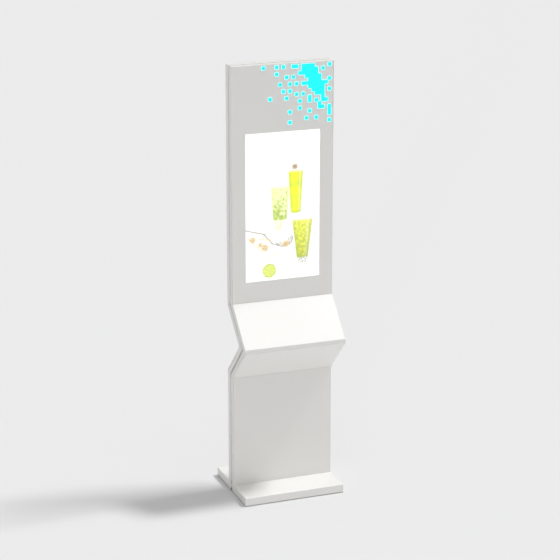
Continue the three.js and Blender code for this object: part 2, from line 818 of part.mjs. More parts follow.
const plateHalf = coreHalf + sheet;
const plateFront = -baseFront + 2 * sheet;
const plateRear = baseRear - 2 * sheet;
const stripFront = plateFront + 2 * sheet;
const stripRear = plateRear - 2 * sheet;
const footFromEdge = stripWidth + footFromStrip + footPadRadius;
const footYs = [stripFront + footFromEdge, stripRear - footFromEdge];
const feetPlaces = [-footX, footX].flatMap((x) => footYs.map((y) => [x, y]));

function basePlateGeometry() {
  const plate = block(-plateHalf, plateHalf, plateFront, plateRear, plateBottom, plateTop);
  const bore = (radius, x, y) => bar('z', radius, 2 * baseHeight, [x, y, plateTop]);
  const nutMiddle = plateTop + nutHeight / 2 - 1;
  const nuts = feetPlaces.map(([x, y]) => bar('z', nutRadius, nutHeight, [x, y, nutMiddle], 6));
  const bores = feetPlaces.map(([x, y]) => bore(footStudRadius + slip, x, y));
  return cut(join(plate, ...nuts), ...bores, bore(grommetHole, grommetX, grooveMiddle));
}

const coverTop = [baseHeight - sheet, baseHeight];

function baseCoverFront() {
  const rear = -seam;
  return join(
    block(-halfWidth, halfWidth, -baseFront, rear, ...coverTop),
    block(-halfWidth, halfWidth, -baseFront, -baseFront + sheet, coverLift, baseHeight),
    block(-halfWidth, -halfWidth + sheet, -baseFront, rear, coverLift, baseHeight),
    block(halfWidth - sheet, halfWidth, -baseFront, rear, coverLift, baseHeight),
  );
}

function baseCoverRear() {
  const topFront = postDepth + seam;
  const cover = join(
    block(-halfWidth, halfWidth, topFront, baseRear, ...coverTop),
    block(-halfWidth, halfWidth, baseRear - sheet, baseRear, coverLift, baseHeight),
    block(-halfWidth, -halfWidth + sheet, grooveRear, baseRear, coverLift, baseHeight),
    block(halfWidth - sheet, halfWidth, grooveRear, baseRear, coverLift, baseHeight),
    block(-halfWidth, -lipInner, grooveRear, grooveRear + sheet, coverLift, baseHeight),
    block(lipInner, halfWidth, grooveRear, grooveRear + sheet, coverLift, baseHeight),
  );
  return cut(cover, cableNotch());
}

addPart(kiosk, 'base_plate', basePlateGeometry(), zincSteel);
addPart(kiosk, 'base_cover_front', baseCoverFront(), whiteCoat);
addPart(kiosk, 'base_cover_rear', baseCoverRear(), whiteCoat);

const stripHalf = coreHalf - stripInset;
const floorStripGeometry = (y0) => block(-stripHalf, stripHalf, y0, y0 + stripWidth, 0, floorStrip);
addPart(kiosk, 'floor_strip_front', floorStripGeometry(stripFront), rubber);
addPart(kiosk, 'floor_strip_rear', floorStripGeometry(stripRear - stripWidth), rubber);

// Angle brackets that tie the side plates to the base plate.
function baseBracket() {
  const [leg, upright] = bracketLeg;
  const [inner, outer] = [innerHalf - leg, innerHalf];
  const [foot, head] = [coreBottom, coreBottom + upright];
  const outline = [
    [inner, foot], [outer, foot], [outer, head], [outer - sidePlate, head],
    [outer - sidePlate, foot + sidePlate], [inner, foot + sidePlate],
  ];
  return along(outline, coreFront + bracketInset, postDepth - coreRear - bracketInset);
}

addPart(kiosk, 'base_bracket_right', baseBracket(), zincSteel);
addPart(kiosk, 'base_bracket_left', mirrored(baseBracket()), zincSteel);

// A levelling foot, wound right in: a broad pad under the plate and a stud through the weld nut.
function levellingFoot() {
  const padTop = plateBottom - seam;
  const padFoot = padTop - footPadHeight;
  return turned([
    [0, padFoot], [footPadRadius - padChamfer, padFoot], [footPadRadius, padFoot + padChamfer],
    [footPadRadius, padTop - padChamfer], [footPadRadius - padChamfer, padTop], [footStudRadius, padTop],
    [footStudRadius, plateTop + studAbovePlate - padChamfer],
    [footStudRadius - padChamfer, plateTop + studAbovePlate], [0, plateTop + studAbovePlate],
  ]);
}

feetPlaces.forEach(([x, y], i) => {
  const foot = addPart(kiosk, `leveling_foot_${i + 1}`, levellingFoot(), stainless);
  foot.position.set(x, y, 0);
});

// The rubber grommet that lines the cable hole in the base plate.
function cableGrommet() {
  const [low, high] = [plateBottom - grommetLip + seam, plateTop + grommetLip - seam];
  const [inner, neck, lip] = [grommetHole - grommetLip, grommetHole - slip, grommetHole + grommetLip];
  return turned([
    [inner, low], [lip, low], [lip, plateBottom - slip], [neck, plateBottom - slip], [neck, plateTop + slip],
    [lip, plateTop + slip], [lip, high], [inner, high], [inner, low],
  ]);
}

addPart(kiosk, 'cable_grommet', cableGrommet(), rubber).position.set(grommetX, grooveMiddle, 0);

// ---------------------------------------------------------------- mains panel

const supplyFoot = lowerRailZ - railHeight / 2 - supplyHeadroom - supplySize[1];
const mainsZ = supplyFoot - leadRoom - panelHeight / 2;

const mains = new THREE.Group();
mains.position.set(mainsX, mainsFace, mainsZ);
kiosk.add(mains);

const centred = (x, [width, height], y0, y1, z = 0) =>
  block(x - width / 2, x + width / 2, y0, y1, z - height / 2, z + height / 2);
const fittingFace = seam + flangeThickness;
const loose = ([width, height]) => [width + 2 * slip, height + 2 * slip];

// A plate bent back to the lower front panel at both ends, with a cut-out for each fitting.
function mainsPanel() {
  const front = coreFront - mainsFace;
  const [w, h] = [panelWidth / 2, panelHeight / 2];
  return cut(
    join(
      block(-w, w, -sheet, 0, -h, h),
      block(-w, -w + sheet, front, 0, -h, h),
      block(w - sheet, w, front, 0, -h, h),
    ),
    centred(inletX, loose(inletBody), -3 * sheet, sheet),
    centred(switchX, loose(switchHole), -3 * sheet, sheet),
    centred(jackX, loose(jackBody), -3 * sheet, sheet),
  );
}

// The appliance inlet: a flange, a moulded body with a socket, and three flat pins.
function mainsInlet() {
  const floorY = fittingFace - inletDepth;
  const [pinWidth, pinLength, pinHeight] = pinSize;
  const pins = pinPlaces.map(([x, z]) =>
    centred(inletX + x, [pinWidth, pinHeight], floorY - 1, floorY + pinLength, z));
  const shell = join(
    centred(inletX, inletFlange, seam, fittingFace),
    centred(inletX, inletBody, floorY - inletFloor, fittingFace),
  );
  const hollow = cut(shell, centred(inletX, inletSocket, floorY, fittingFace + 1));
  return join(hollow, ...pins);
}

function switchBezel() {
  const shell = join(
    centred(switchX, switchFlange, seam, fittingFace),
    centred(switchX, switchHole, -switchDepth, fittingFace),
  );
  return cut(shell, centred(switchX, rockerWell, -fittingWell, fittingFace + 1));
}

function networkJack() {
  const shell = join(
    centred(jackX, jackFlange, seam, fittingFace),
    centred(jackX, jackBody, -jackDepth, fittingFace),
  );
  const latchZ = -(jackSocket[1] + jackLatch[1]) / 2 + slip;
  return cut(
    shell,
    centred(jackX, jackSocket, -fittingWell, fittingFace + 1),
    centred(jackX, jackLatch, -fittingWell, fittingFace + 1, latchZ),
  );
}

addPart(mains, 'mains_panel', mainsPanel(), zincSteel);
addPart(mains, 'mains_inlet', mainsInlet(), blackPlastic);
addPart(mains, 'switch_bezel', switchBezel(), blackPlastic);
addPart(mains, 'network_jack', networkJack(), blackPlastic);

// The rocker tips about X on its pivot. At rest its upper half stands out.
const rocker = new THREE.Group();
rocker.position.set(switchX, -3, 0);
rocker.rotation.x = THREE.MathUtils.degToRad(-rockerTilt);
mains.add(rocker);
const rockerOutline = [[-3, -8], [6, -9.4], [4.6, 0], [6, 9.4], [-3, 8]];
addPart(rocker, 'power_rocker', across(rockerOutline, -5.9, 5.9), blackPlastic);

// ---------------------------------------------------------------- power supply and media player


function powerSupply() {
  const [width, height, depth] = supplySize;
  const front = coreFront;
  const [ear, short] = supplyEar;
  const flange = block(-width / 2 - ear, width / 2 + ear, front, front + sheet, short, height - short);
  const box = block(-width / 2, width / 2, front, front + depth, 0, height);
  const vents = slotRow(
    supplyVents, width * supplyVentShare, ventSlot - 1, ventPitch, 0, height / 2,
    front + depth - 1, front + depth + 1,
  );
  return cut(join(box, flange), ...vents).translate(supplyX, 0, supplyFoot);
}

addPart(kiosk, 'power_supply', powerSupply(), aluminium);

// The media player lies behind the console's deck, square to the slope.
const player = new THREE.Group();
const playerBack = (consoleDepth / 2) * Math.SQRT2;
const playerY = -foldReach * playerShare;
player.position.set(0, playerY, foldTop - playerBack + playerY);
player.rotation.x = -Math.PI / 4;
kiosk.add(player);

function mediaPlayer() {
  const [width, length, height] = playerSize;
  const box = block(-width / 2, width / 2, -height / 2, height / 2, -length / 2, length / 2);
  const fins = [];
  for (let x = finFirst - width / 2; x < width / 2 - finGap; x += finPitch) {
    fins.push(block(x, x + finGap, height / 2 - finDepth, height, -length, length));
  }
  return cut(box, ...fins);
}

addPart(player, 'media_player', mediaPlayer(), aluminium);

// ---------------------------------------------------------------- internal leads

// A lead along a smooth line through the given points.
function lead(points, radius, sides, steps) {
  const path = new THREE.CatmullRomCurve3(points.map(([x, y, z]) => new THREE.Vector3(x, y, z)));
  const section = new THREE.Shape();
  for (let i = 0; i < sides; i += 1) {
    const angle = (i * 2 * Math.PI) / sides;
    const corner = [radius * Math.cos(angle), radius * Math.sin(angle)];
    if (i === 0) section.moveTo(...corner);
    else section.lineTo(...corner);
  }
  section.closePath();
  return new THREE.ExtrudeGeometry(section, { steps, bevelEnabled: false, extrudePath: path });
}

const leadGap = 0.5;
const inletBack = [mainsX + inletX, mainsFace + fittingFace - inletDepth - inletFloor - leadGap, mainsZ];
const supplyEntry = [supplyX + 12, coreFront + supplySize[2] / 2, supplyFoot - leadGap];
addPart(kiosk, 'mains_lead_internal', lead([
  inletBack,
  [inletBack[0], inletBack[1] - 7, inletBack[2]],
  [inletBack[0] - 10, 16, inletBack[2] + 30],
  [supplyX + 28, 20, supplyFoot - leadRoom * 0.66],
  [supplyEntry[0], supplyEntry[1], supplyEntry[2] - 24],
  supplyEntry,
], 3.2, 8, 28), cableJacket);

const chassisFoot = windowMiddle - (glassHeight - chassisBorder) / 2;
const leadY = chassisFront + 3;
const leadX = 60;
const playerEnd = (playerSize[1] / 2 + leadGap) * Math.SQRT1_2;
const bySlope = (distance) => [leadX, playerY + distance, player.position.z + distance];
addPart(kiosk, 'display_lead', lead([
  [leadX, leadY, chassisFoot - leadGap],
  [leadX, leadY, chassisFoot - 30],
  [leadX, leadY, upperRailZ - 10],
  [leadX, leadY - 6, foldTop - 30],
  bySlope(playerEnd + 14),
  bySlope(playerEnd),
], 2.4, 8, 26), cableJacket);

export default kiosk;
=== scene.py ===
"""Touchscreen kiosk: finishes and fine pieces made round the packed frame."""

import json
import math

import bmesh
import bpy
from bpy.props import FloatProperty, FloatVectorProperty, IntProperty, PointerProperty
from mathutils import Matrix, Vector, noise


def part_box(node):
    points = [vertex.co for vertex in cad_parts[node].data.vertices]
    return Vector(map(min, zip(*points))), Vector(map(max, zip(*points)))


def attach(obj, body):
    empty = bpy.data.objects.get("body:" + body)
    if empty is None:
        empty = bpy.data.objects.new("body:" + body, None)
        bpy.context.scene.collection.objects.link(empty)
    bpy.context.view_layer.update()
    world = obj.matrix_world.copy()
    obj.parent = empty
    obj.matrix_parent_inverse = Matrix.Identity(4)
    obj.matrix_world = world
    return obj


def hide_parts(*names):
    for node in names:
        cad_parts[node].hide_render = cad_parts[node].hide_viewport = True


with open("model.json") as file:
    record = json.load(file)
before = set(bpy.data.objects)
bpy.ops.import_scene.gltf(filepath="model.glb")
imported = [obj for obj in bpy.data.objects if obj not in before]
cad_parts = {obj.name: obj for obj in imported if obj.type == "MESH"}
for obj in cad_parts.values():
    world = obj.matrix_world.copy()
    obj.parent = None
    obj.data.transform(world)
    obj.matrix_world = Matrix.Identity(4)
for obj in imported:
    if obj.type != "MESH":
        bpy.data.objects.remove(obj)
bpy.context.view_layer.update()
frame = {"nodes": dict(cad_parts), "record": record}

bl_info = {
    "name": "Touchscreen kiosk",
    "version": (1, 0, 0),
    "blender": (4, 5, 0),
    "location": "3D View > Sidebar > Kiosk",
    "description": "Finishes and fine pieces of a folded sheet-steel touchscreen kiosk",
    "category": "Object",
}

MM = 0.001
POST_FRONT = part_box("display_fascia")[0].y
BODY_OF = {
    node: body
    for body, nodes in frame["record"]["behaviour"]["bodies"].items()
    for node in nodes
}
SLOT_OF = {part["node"]: part["material_slot"] for part in frame["record"]["subparts"]}


def place(x, y, z):
    """A point in millimetres, measured back from the post's front face, in the row frame."""
    return Vector((x * MM, POST_FRONT + y * MM, z * MM))


def box_mm(node):
    """A node's lowest and highest corner in millimetres, measured as place() does."""
    back = Vector((0, POST_FRONT, 0))
    return tuple((corner - back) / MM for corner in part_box(node))


# ---------------------------------------------------------------- fixed sizes

BROAD = 160 * MM  # the slow change of tone that every finish has
DUST_HEIGHT = 9 * MM  # how far up the coat the film of dust reaches
TRACK_PITCH = 5.08 * MM  # between the tracks of the circuit board

# in millimetres, as place() takes them
GLASS_LAP = 12  # how far the glass passes the window all round
SLOT_WIDTH = 84  # ventilation slots of the doors
COLUMN_PITCH = 120  # between columns of slots
LED_BOARD = 2  # thickness of the LED board
HEADER_PITCH = 8  # between the LED board's connectors
SLOPE_SCREWS = (26, 138)  # from a slope's crease down to its rows of screws
SLOPE_SIDE = 26  # from a slope's side to its screws
LID_SCREWS = (-200, 0, 200)
LID_DEPTH = 48  # behind the post's front face
PAD_SCREW = 50  # from the middle of the display's mounting pad to its screws, both ways
CONTACT_PITCH = 1.02  # between the contacts of the network jack
TERMINAL_PITCH = 9.5  # between the power supply's terminals
GUARD_STANDOFF = 1.2  # from the fan to the middle of its guard's wires
FAN_SCREW = 41.25  # from the fan's axis to its screws, both ways
INLET_DEPTH = 15.9  # from the inlet's rim to its floor
PIN_FIELD = (11, 7.5)  # the pins lie within this of the inlet's middle
PIN_FACE = 60  # no face of a pin is larger, in square millimetres


# ---------------------------------------------------------------- settings


def length(name, description, default):
    """A length in metres that the user can change."""
    return FloatProperty(
        name=name, description=description, default=default, min=0, unit="LENGTH", precision=5
    )


def colour(name, description, default):
    """A colour that the user can change, from an sRGB hex value."""
    return FloatVectorProperty(
        name=name, description=description, default=linear(default), size=4, subtype="COLOR"
    )


def share(name, description, default, most=1.0):
    """A plain number that the user can change."""
    return FloatProperty(name=name, description=description, default=default, min=0, max=most)


def linear(value):
    """A linear colour, with full alpha, from an sRGB hex value such as "#E9E9E8"."""
    parts = [int(value[i : i + 2], 16) / 255 for i in (1, 3, 5)]
    curve = [p / 12.92 if p <= 0.04045 else ((p + 0.055) / 1.055) ** 2.4 for p in parts]
    return (*curve, 1.0)


class KioskStage(bpy.types.PropertyGroup):
    """Camera, floor and lights."""

    camera_place: FloatVectorProperty(
        name="Camera place",
        description="Where the camera stands",
        default=(-2.979456, -7.967276, 3.591854),
        subtype="TRANSLATION",
        unit="LENGTH",
    )
    camera_turn: FloatVectorProperty(
        name="Camera turn",
        description="Tilt, roll and heading of the camera",
        default=(math.radians(90 - 16.637095), 0.0, math.radians(-20.504272)),
        subtype="EULER",
        unit="ROTATION",
    )
    lens: FloatProperty(
        name="Lens",
        description="Focal length on a 36 mm sensor",
        default=119.482,
        min=1,
        unit="CAMERA",
    )
    floor_half: length("Floor half-width", "From the middle of the floor to its edge", 60.0)
    floor_colour: colour("Floor", "Matt studio floor", "#DBDBDB")
    horizon: colour("Horizon", "Light that comes in level", "#FFFDFA")
    zenith: colour("Zenith", "Light that comes from overhead", "#FBFCFF")
    sky_low: share("Level light", "Radiance of the studio at the horizon", 0.1, 10)
    sky_rise: share("Overhead light", "Radiance that the zenith adds", 1.05, 10)
    backdrop: colour("Backdrop", "What the camera sees past the floor", "#ECECEC")
    sun: share("Key light", "Irradiance of the soft key light", 2.05, 20)
    sun_size: FloatProperty(
        name="Key softness",
        description="Angle that the key light fills",
        default=math.radians(10),
        min=0,
        unit="ROTATION",
    )
    sun_height: FloatProperty(
        name="Key height",
        description="Elevation of the key light",
        default=math.radians(59),
        unit="ROTATION",
    )
    sun_heading: FloatProperty(
        name="Key heading",
        description="How far the key light stands to the front of the kiosk's right",
        default=math.radians(5.6),
        unit="ROTATION",
    )
    fill: share("Fill light", "Irradiance of the level light that opens the near faces", 0.48, 20)
    fill_size: FloatProperty(
        name="Fill softness",
        description="Angle that the fill light fills",
        default=math.radians(6),
        min=0,
        unit="ROTATION",
    )
    fill_height: FloatProperty(
        name="Fill height",
        description="Elevation of the fill light, low enough to leave the floor alone",
        default=math.radians(3.2),
        unit="ROTATION",
    )
    fill_heading: FloatProperty(
        name="Fill heading",
        description="How far round from the kiosk's right the fill light stands",
        default=math.radians(121),
        unit="ROTATION",
    )


class KioskCoat(bpy.types.PropertyGroup):
    """Coated sheet steel."""

    white: colour("White coat", "Coat of the trays, the doors and the base", "#EDECE9")
    # a shade darker than the white: partly a grey coat, partly painted shade for the recessed groove
    # where the core plates sit
    core: colour("Core coat", "Coat of the side plates and the top plate", "#E0DFDD")
    roughness: share("Roughness", "Middle roughness of the satin coat", 0.34)
    peel: length("Orange peel", "Width of the coat's lumps", 2.5 * MM)
    fold: length("Fold radius", "Radius outside a folded edge", 1.8 * MM)
    edge: length("Edge break", "Radius on a cut edge", 0.35 * MM)


class KioskPicture(bpy.types.PropertyGroup):
    """The picture that the display shows."""

    cell: length("Cell", "Size of the picture's cells", 2.5 * MM)
    brightness: share("Brightness", "Emission of the white of the picture", 1.25, 10)
    ground: colour("Ground", "Background of the picture", "#FEFEFC")
    juice: colour("Juice", "Drink in the tall glass", "#F2F200")
    leaf: colour("Leaves", "Herbs in the glasses", "#86AE2C")
    board: colour("Board", "Edge of the board", "#84684E")
    fruit: colour("Fruit", "Slices on the board", "#EFCB8C")


class KioskPixels(bpy.types.PropertyGroup):
    """Lit acrylic tiles."""

    heart: colour("Tile", "Middle of a lit tile", "#33E1D7")
    rim: colour("Tile rim", "Rim of a lit tile", "#00F8FF")
    glow: share("Face glow", "Emission of a tile's face", 1.0, 20)
    side_glow: share("Side glow", "Emission of a tile's sides, which lights the fascia", 4.5, 40)
    edge: length("Tile edge", "Radius on a tile's edges", 0.5 * MM)
    led: length("LED", "Width of an LED's package", 5.0 * MM)


class KioskLouvres(bpy.types.PropertyGroup):
    """Pressed hoods over the doors' slots."""

    rise: length("Rise", "How far a hood stands out", 4.0 * MM)
    height: length("Height", "Height of a hood", 7.5 * MM)
    lap: length("Lap", "How far a hood passes its slot's ends", 3.0 * MM)
    sheet: length("Sheet", "Thickness of a hood", 0.9 * MM)


class KioskFasteners(bpy.types.PropertyGroup):
    """Button-head screws with a hex socket."""

    head: length("Head", "Radius of the head", 3.8 * MM)
    dome: length("Dome", "Height of the head", 2.2 * MM)
    socket: length("Socket", "Radius of the hex socket", 1.45 * MM)
    depth: length("Socket depth", "Depth of the hex socket", 1.2 * MM)
    seed: IntProperty(name="Seed", description="Which way the sockets are turned", default=7)


SETTINGS = {
    "kiosk_stage": KioskStage,
    "kiosk_coat": KioskCoat,
    "kiosk_picture": KioskPicture,
    "kiosk_pixels": KioskPixels,
    "kiosk_louvres": KioskLouvres,
    "kiosk_fasteners": KioskFasteners,
}


# ---------------------------------------------------------------- nodes


def add(tree, kind, settings=None, sockets=None):
    """Adds a node, sets its properties, and fills or links its sockets by name or by number."""
    node = tree.nodes.new(kind)
    for name, value in (settings or {}).items():
        setattr(node, name, value)
    for key, value in (sockets or {}).items():
        if isinstance(value, bpy.types.NodeSocket):
            tree.links.new(value, node.inputs[key])
        else:
            node.inputs[key].default_value = value
    return node


def output(tree, kind, settings=None, sockets=None, number=0):
    """Adds a node as add does, and gives one of its outputs."""
    return add(tree, kind, settings, sockets).outputs[number]


def reckon(tree, operation, *values):
    """What a maths node makes of its values."""
    return output(tree, "ShaderNodeMath", {"operation": operation}, dict(enumerate(values)))


def blend(tree, part, first, second):
    """A colour part of the way from the first to the second."""
    return output(
        tree, "ShaderNodeMix", {"data_type": "RGBA"}, {0: part, 6: first, 7: second}, number=2
    )


def lumps(tree, where, size, detail=2.0):
    """A soft random pattern with lumps of one size."""
    sockets = {"Vector": where, "Scale": 1 / size, "Detail": detail}
    return output(tree, "ShaderNodeTexNoise", sockets=sockets)


def remap(tree, value, ends, results, way="LINEAR"):
    """A value carried from the range between two ends to the range between two results."""
    sockets = dict(enumerate((value, *ends, *results)))
    return output(tree, "ShaderNodeMapRange", {"interpolation_type": way}, sockets)


def shade(value, factor):
    """A linear colour made lighter or darker."""
    return (*(min(part * factor, 1.0) for part in value[:3]), 1.0)


def start(name, **shader_sockets):
    """A new material: its tree, its shader and where its patterns are read."""
    material = bpy.data.materials.new(name)
    material.use_nodes = True
    tree = material.node_tree
    tree.nodes.clear()
    sockets = {key.replace("_", " "): value for key, value in shader_sockets.items()}
    shader = add(tree, "ShaderNodeBsdfPrincipled", sockets=sockets)
    add(tree, "ShaderNodeOutputMaterial", sockets={"Surface": shader.outputs[0]})
    where = add(tree, "ShaderNodeTexCoord").outputs["Object"]
    return material, tree, shader, where


def speckled(name, base, spread, rough, lump, relief, stretch=(1, 1, 1), **shader_sockets):
    """A material whose colour, roughness and relief follow a fine pattern and a broad one.

    spread is how far the colour goes either way, rough the range of the roughness, lump the size of
    the fine pattern in metres, relief its height in metres, and stretch draws it out along an axis.
    """
    material, tree, shader, where = start(name, **shader_sockets)
    scale = tuple(1 / part for part in stretch)
    drawn = output(tree, "ShaderNodeMapping", sockets={"Vector": where, "Scale": scale})
    fine = lumps(tree, drawn, lump)
    broad = lumps(tree, where, BROAD, 3.0)
    tone = blend(tree, broad, shade(base, 1 - spread), shade(base, 1 + spread))
    gloss = remap(tree, fine, (0.3, 0.7), rough)
    bump = output(
        tree, "ShaderNodeBump", sockets={"Strength": 1.0, "Distance": relief, "Height": fine}
    )
    for socket, value in (("Base Color", tone), ("Roughness", gloss), ("Normal", bump)):
        tree.links.new(value, shader.inputs[socket])
    return material, tree, shader, where


def powder_coat(name, base):
    """Polyester powder, sprayed and baked on sheet steel.

    Its lumps break the highlights up a little, and the coat clouds slightly from one pass of the gun
    to the next. A thin film of dust greys it close to the floor. The real lumps are about 1 mm wide,
    which is too fine to show, so they are drawn wider.
    """
    coat = bpy.context.scene.kiosk_coat
    rough = (coat.roughness - 0.04, coat.roughness + 0.04)
    material, tree, shader, where = speckled(
        name, base, 0.012, rough, coat.peel, 0.012 * MM, IOR=1.5
    )
    height = output(tree, "ShaderNodeSeparateXYZ", sockets={0: where}, number=2)
    low = remap(tree, height, (0.0, DUST_HEIGHT), (0.7, 0.0))
    dust = reckon(tree, "MULTIPLY", low, lumps(tree, where, 9 * MM, 4.0))
    clean = shader.inputs["Base Color"].links[0].from_socket
    dusty = blend(tree, dust, clean, shade(base, 0.62))
    tree.links.new(dusty, shader.inputs["Base Color"])
    return material


def zinc_plate(name):
    """Zinc-plated steel, passivated clear: a soft metal grey that breaks into dull crystal patches."""
    material, tree, shader, where = speckled(
        name, linear("#B9BDC0"), 0.05, (0.32, 0.42), 0.6 * MM, 0.004 * MM, Metallic=1.0
    )
    sockets = {"Vector": where, "Scale": 1 / (12 * MM)}
    crystal = output(tree, "ShaderNodeTexVoronoi", sockets=sockets, number="Color")
    patch = output(tree, "ShaderNodeSeparateColor", sockets={0: crystal})
    tone = blend(tree, patch, linear("#A9AEB1"), linear("#C6CACC"))
    tree.links.new(tone, shader.inputs["Base Color"])
    return material


def brushed_stainless(name):
    """Stainless steel, brushed along its length: fine upright lines that draw the light out."""
    base = linear("#C9CBCC")
    rough = (0.2, 0.34)
    return speckled(
        name, base, 0.03, rough, 0.35 * MM, 0.004 * MM, (1, 1, 60), Metallic=1.0
    )[0]


def blasted_aluminium(name):
    """Aluminium, bead-blasted and anodised clear: an even, silky grey without a grain."""
    base = linear("#B4B7B9")
    return speckled(name, base, 0.03, (0.38, 0.5), 0.5 * MM, 0.006 * MM, Metallic=1.0)[0]


def moulded_plastic(name, base, rough=(0.4, 0.55)):
    """ABS, moulded against a spark-eroded tool: a fine, even grain that keeps its shine low."""
    return speckled(name, base, 0.08, rough, 0.7 * MM, 0.02 * MM, IOR=1.53)[0]


def cellular_foam(name):
    """Closed-cell foam: dull black with small open cells on its cut faces."""
    return speckled(name, linear("#232425"), 0.15, (0.85, 0.95), 0.9 * MM, 0.2 * MM)[0]


def nitrile_rubber(name):
    """Nitrile rubber, moulded: near black, dull, and greyed a little by dust."""
    return speckled(name, linear("#1B1B1B"), 0.2, (0.7, 0.85), 1.5 * MM, 0.04 * MM, IOR=1.52)[0]


def cable_jacket(name):
    """Flexible PVC, extruded: a soft sheen with faint die lines along the lead."""
    return speckled(name, linear("#242528"), 0.1, (0.38, 0.5), 1.2 * MM, 0.02 * MM, IOR=1.54)[0]


def solder_mask(name):
    """A circuit board under white solder mask: a glossy skin over faint copper tracks."""
    material, tree, shader, where = speckled(
        name, linear("#DCE0DD"), 0.02, (0.25, 0.35), 2 * MM, 0.004 * MM, IOR=1.55
    )
    turned = output(
        tree, "ShaderNodeMapping", sockets={"Vector": where, "Rotation": (math.pi / 2, 0, 0)}
    )
    tracks = output(
        tree,
        "ShaderNodeTexBrick",
        {"offset": 0.5},
        {
            "Vector": turned,
            "Color1": linear("#DCE0DD"),
            "Color2": linear("#D2D8D4"),
            "Mortar": linear("#A9B7AC"),
            "Scale": 1.0,
            "Mortar Size": 0.35 * MM,
            "Brick Width": 6 * TRACK_PITCH,
            "Row Height": TRACK_PITCH,
        },
    )
    tree.links.new(tracks, shader.inputs["Base Color"])
    return material


def touch_glass(name):
    """Chemically strengthened glass with an anti-glare etch: clear, with a slightly softened shine."""
    return speckled(
        name,
        linear("#FBFEFD"),
        0.002,
        (0.0, 0.03),
        30 * MM,
        0.0004 * MM,
        IOR=1.52,
        Transmission_Weight=1.0,
    )[0]


def plated_contact(name, value="#D9B564"):
    """Contacts plated on brass: a warm, fairly bright metal."""
    return speckled(name, linear(value), 0.04, (0.2, 0.3), 0.6 * MM, 0.003 * MM, Metallic=1.0)[0]


def glowing(name, value, glow, base="#F4F6F6"):
    """A small lit lens: pale, and evenly bright."""
    material, _, shader, _ = speckled(
        name, linear(base), 0.02, (0.3, 0.4), 1 * MM, 0.002 * MM, IOR=1.49
    )
    shader.inputs["Emission Color"].default_value = linear(value)
    shader.inputs["Emission Strength"].default_value = glow
    return material


def lit_acrylic(name, pitch, centre, heart, edge, strength):
    """Opal acrylic lit from behind: a teal middle in a brighter, more saturated rim.

    The sides of a tile carry more light than its face, and throw it on the coat round them. Where
    tiles crowd, their light runs together.
    """
    material, tree, shader, where = speckled(
        name, linear("#053A3C"), 0.02, (0.25, 0.35), 1.5 * MM, 0.003 * MM, IOR=1.49
    )
    from_centre = output(
        tree, "ShaderNodeVectorMath", {"operation": "SUBTRACT"}, {0: where, 1: centre}
    )
    axes = add(tree, "ShaderNodeSeparateXYZ", sockets={0: from_centre}).outputs
    away = [reckon(tree, "PINGPONG", axes[axis], pitch / 2) for axis in (0, 2)]
    rim = remap(
        tree, reckon(tree, "MAXIMUM", *away), (3.8 * MM, 5.8 * MM), (0.0, 1.0), "SMOOTHSTEP"
    )
    tree.links.new(blend(tree, rim, heart, edge), shader.inputs["Emission Color"])
    shader.inputs["Emission Strength"].default_value = strength
    return material


def display_picture(name):
    """A liquid-crystal display at full brightness: the picture is its own light."""
    material, tree, shader, where = start(name, IOR=1.5)
    seen = output(tree, "ShaderNodeAttribute", {"attribute_name": "picture"}, number="Color")
    even = remap(tree, lumps(tree, where, 120 * MM), (0.3, 0.7), (0.3, 0.36))
    tree.links.new(seen, shader.inputs["Emission Color"])
    tree.links.new(even, shader.inputs["Roughness"])
    shader.inputs["Base Color"].default_value = linear("#0B0C0E")
    shader.inputs["Emission Strength"].default_value = (
        bpy.context.scene.kiosk_picture.brightness
    )
    return material


FINISHES = {
    "white_powder_coat": lambda: powder_coat(
        "White polyester powder coat", bpy.context.scene.kiosk_coat.white
    ),
    # the core plates' coat is darker partly as painted shade of the recessed groove between the front
    # and rear shells
    "grey_powder_coat": lambda: powder_coat(
        "Light grey polyester powder coat", bpy.context.scene.kiosk_coat.core
    ),
    "zinc_steel": lambda: zinc_plate("Zinc-plated steel"),
    "stainless": lambda: brushed_stainless("Brushed stainless steel"),
    "screen_glass": lambda: touch_glass("Etched touch glass"),
    "lcd_black": lambda: moulded_plastic("Gloss black moulding", linear("#0E0F11"), (0.15, 0.25)),
    "foam_black": lambda: cellular_foam("Closed-cell foam"),
    "circuit_board": lambda: solder_mask("White solder mask"),
    "black_plastic": lambda: moulded_plastic("Black moulded ABS", linear("#1D1E20")),
    "aluminium": lambda: blasted_aluminium("Blasted aluminium"),
    "black_rubber": lambda: nitrile_rubber("Nitrile rubber"),
    "cable_jacket": lambda: cable_jacket("PVC lead jacket"),
    "contact": lambda: plated_contact("Gold-plated contact"),
    "tinned": lambda: plated_contact("Tinned contact", "#C8CCCE"),
    "led_white": lambda: glowing("LED lens", "#C8FFFF", 1.5),
    "led_green": lambda: glowing("Green pilot lens", "#35E06A", 2.0, "#9FE0B0"),
    "black_chip": lambda: moulded_plastic("Epoxy chip moulding", linear("#17181A"), (0.35, 0.5)),
    "white_housing": lambda: moulded_plastic("Natural nylon housing", linear("#E6E3DA")),
}
made_finishes = {}


def finish_for(name):
    """The material of one finish, made the first time it is asked for."""
    if name not in made_finishes:
        made_finishes[name] = FINISHES[name]()
    return made_finishes[name]


# ---------------------------------------------------------------- pieces


def settle(name, mesh, body, slot, *materials):
    """A finished piece at the origin, in its finishes, riding on its body."""
    piece = bpy.data.objects.new(name, mesh)
    bpy.context.scene.collection.objects.link(piece)
    if materials:
        numbers = [min(face.material_index, len(materials) - 1) for face in mesh.polygons]
        mesh.materials.clear()
        for material in materials:
            mesh.materials.append(material)
        mesh.polygons.foreach_set("material_index", numbers)
    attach(piece, body)
    return piece


def plain_mesh(piece, name):
    """The mesh that an object's modifiers make, as a mesh of its own. The object is removed."""
    evaluated = piece.evaluated_get(bpy.context.evaluated_depsgraph_get())
    mesh = bpy.data.meshes.new_from_object(evaluated)
    mesh.name = name
    bpy.data.objects.remove(piece)
    return mesh


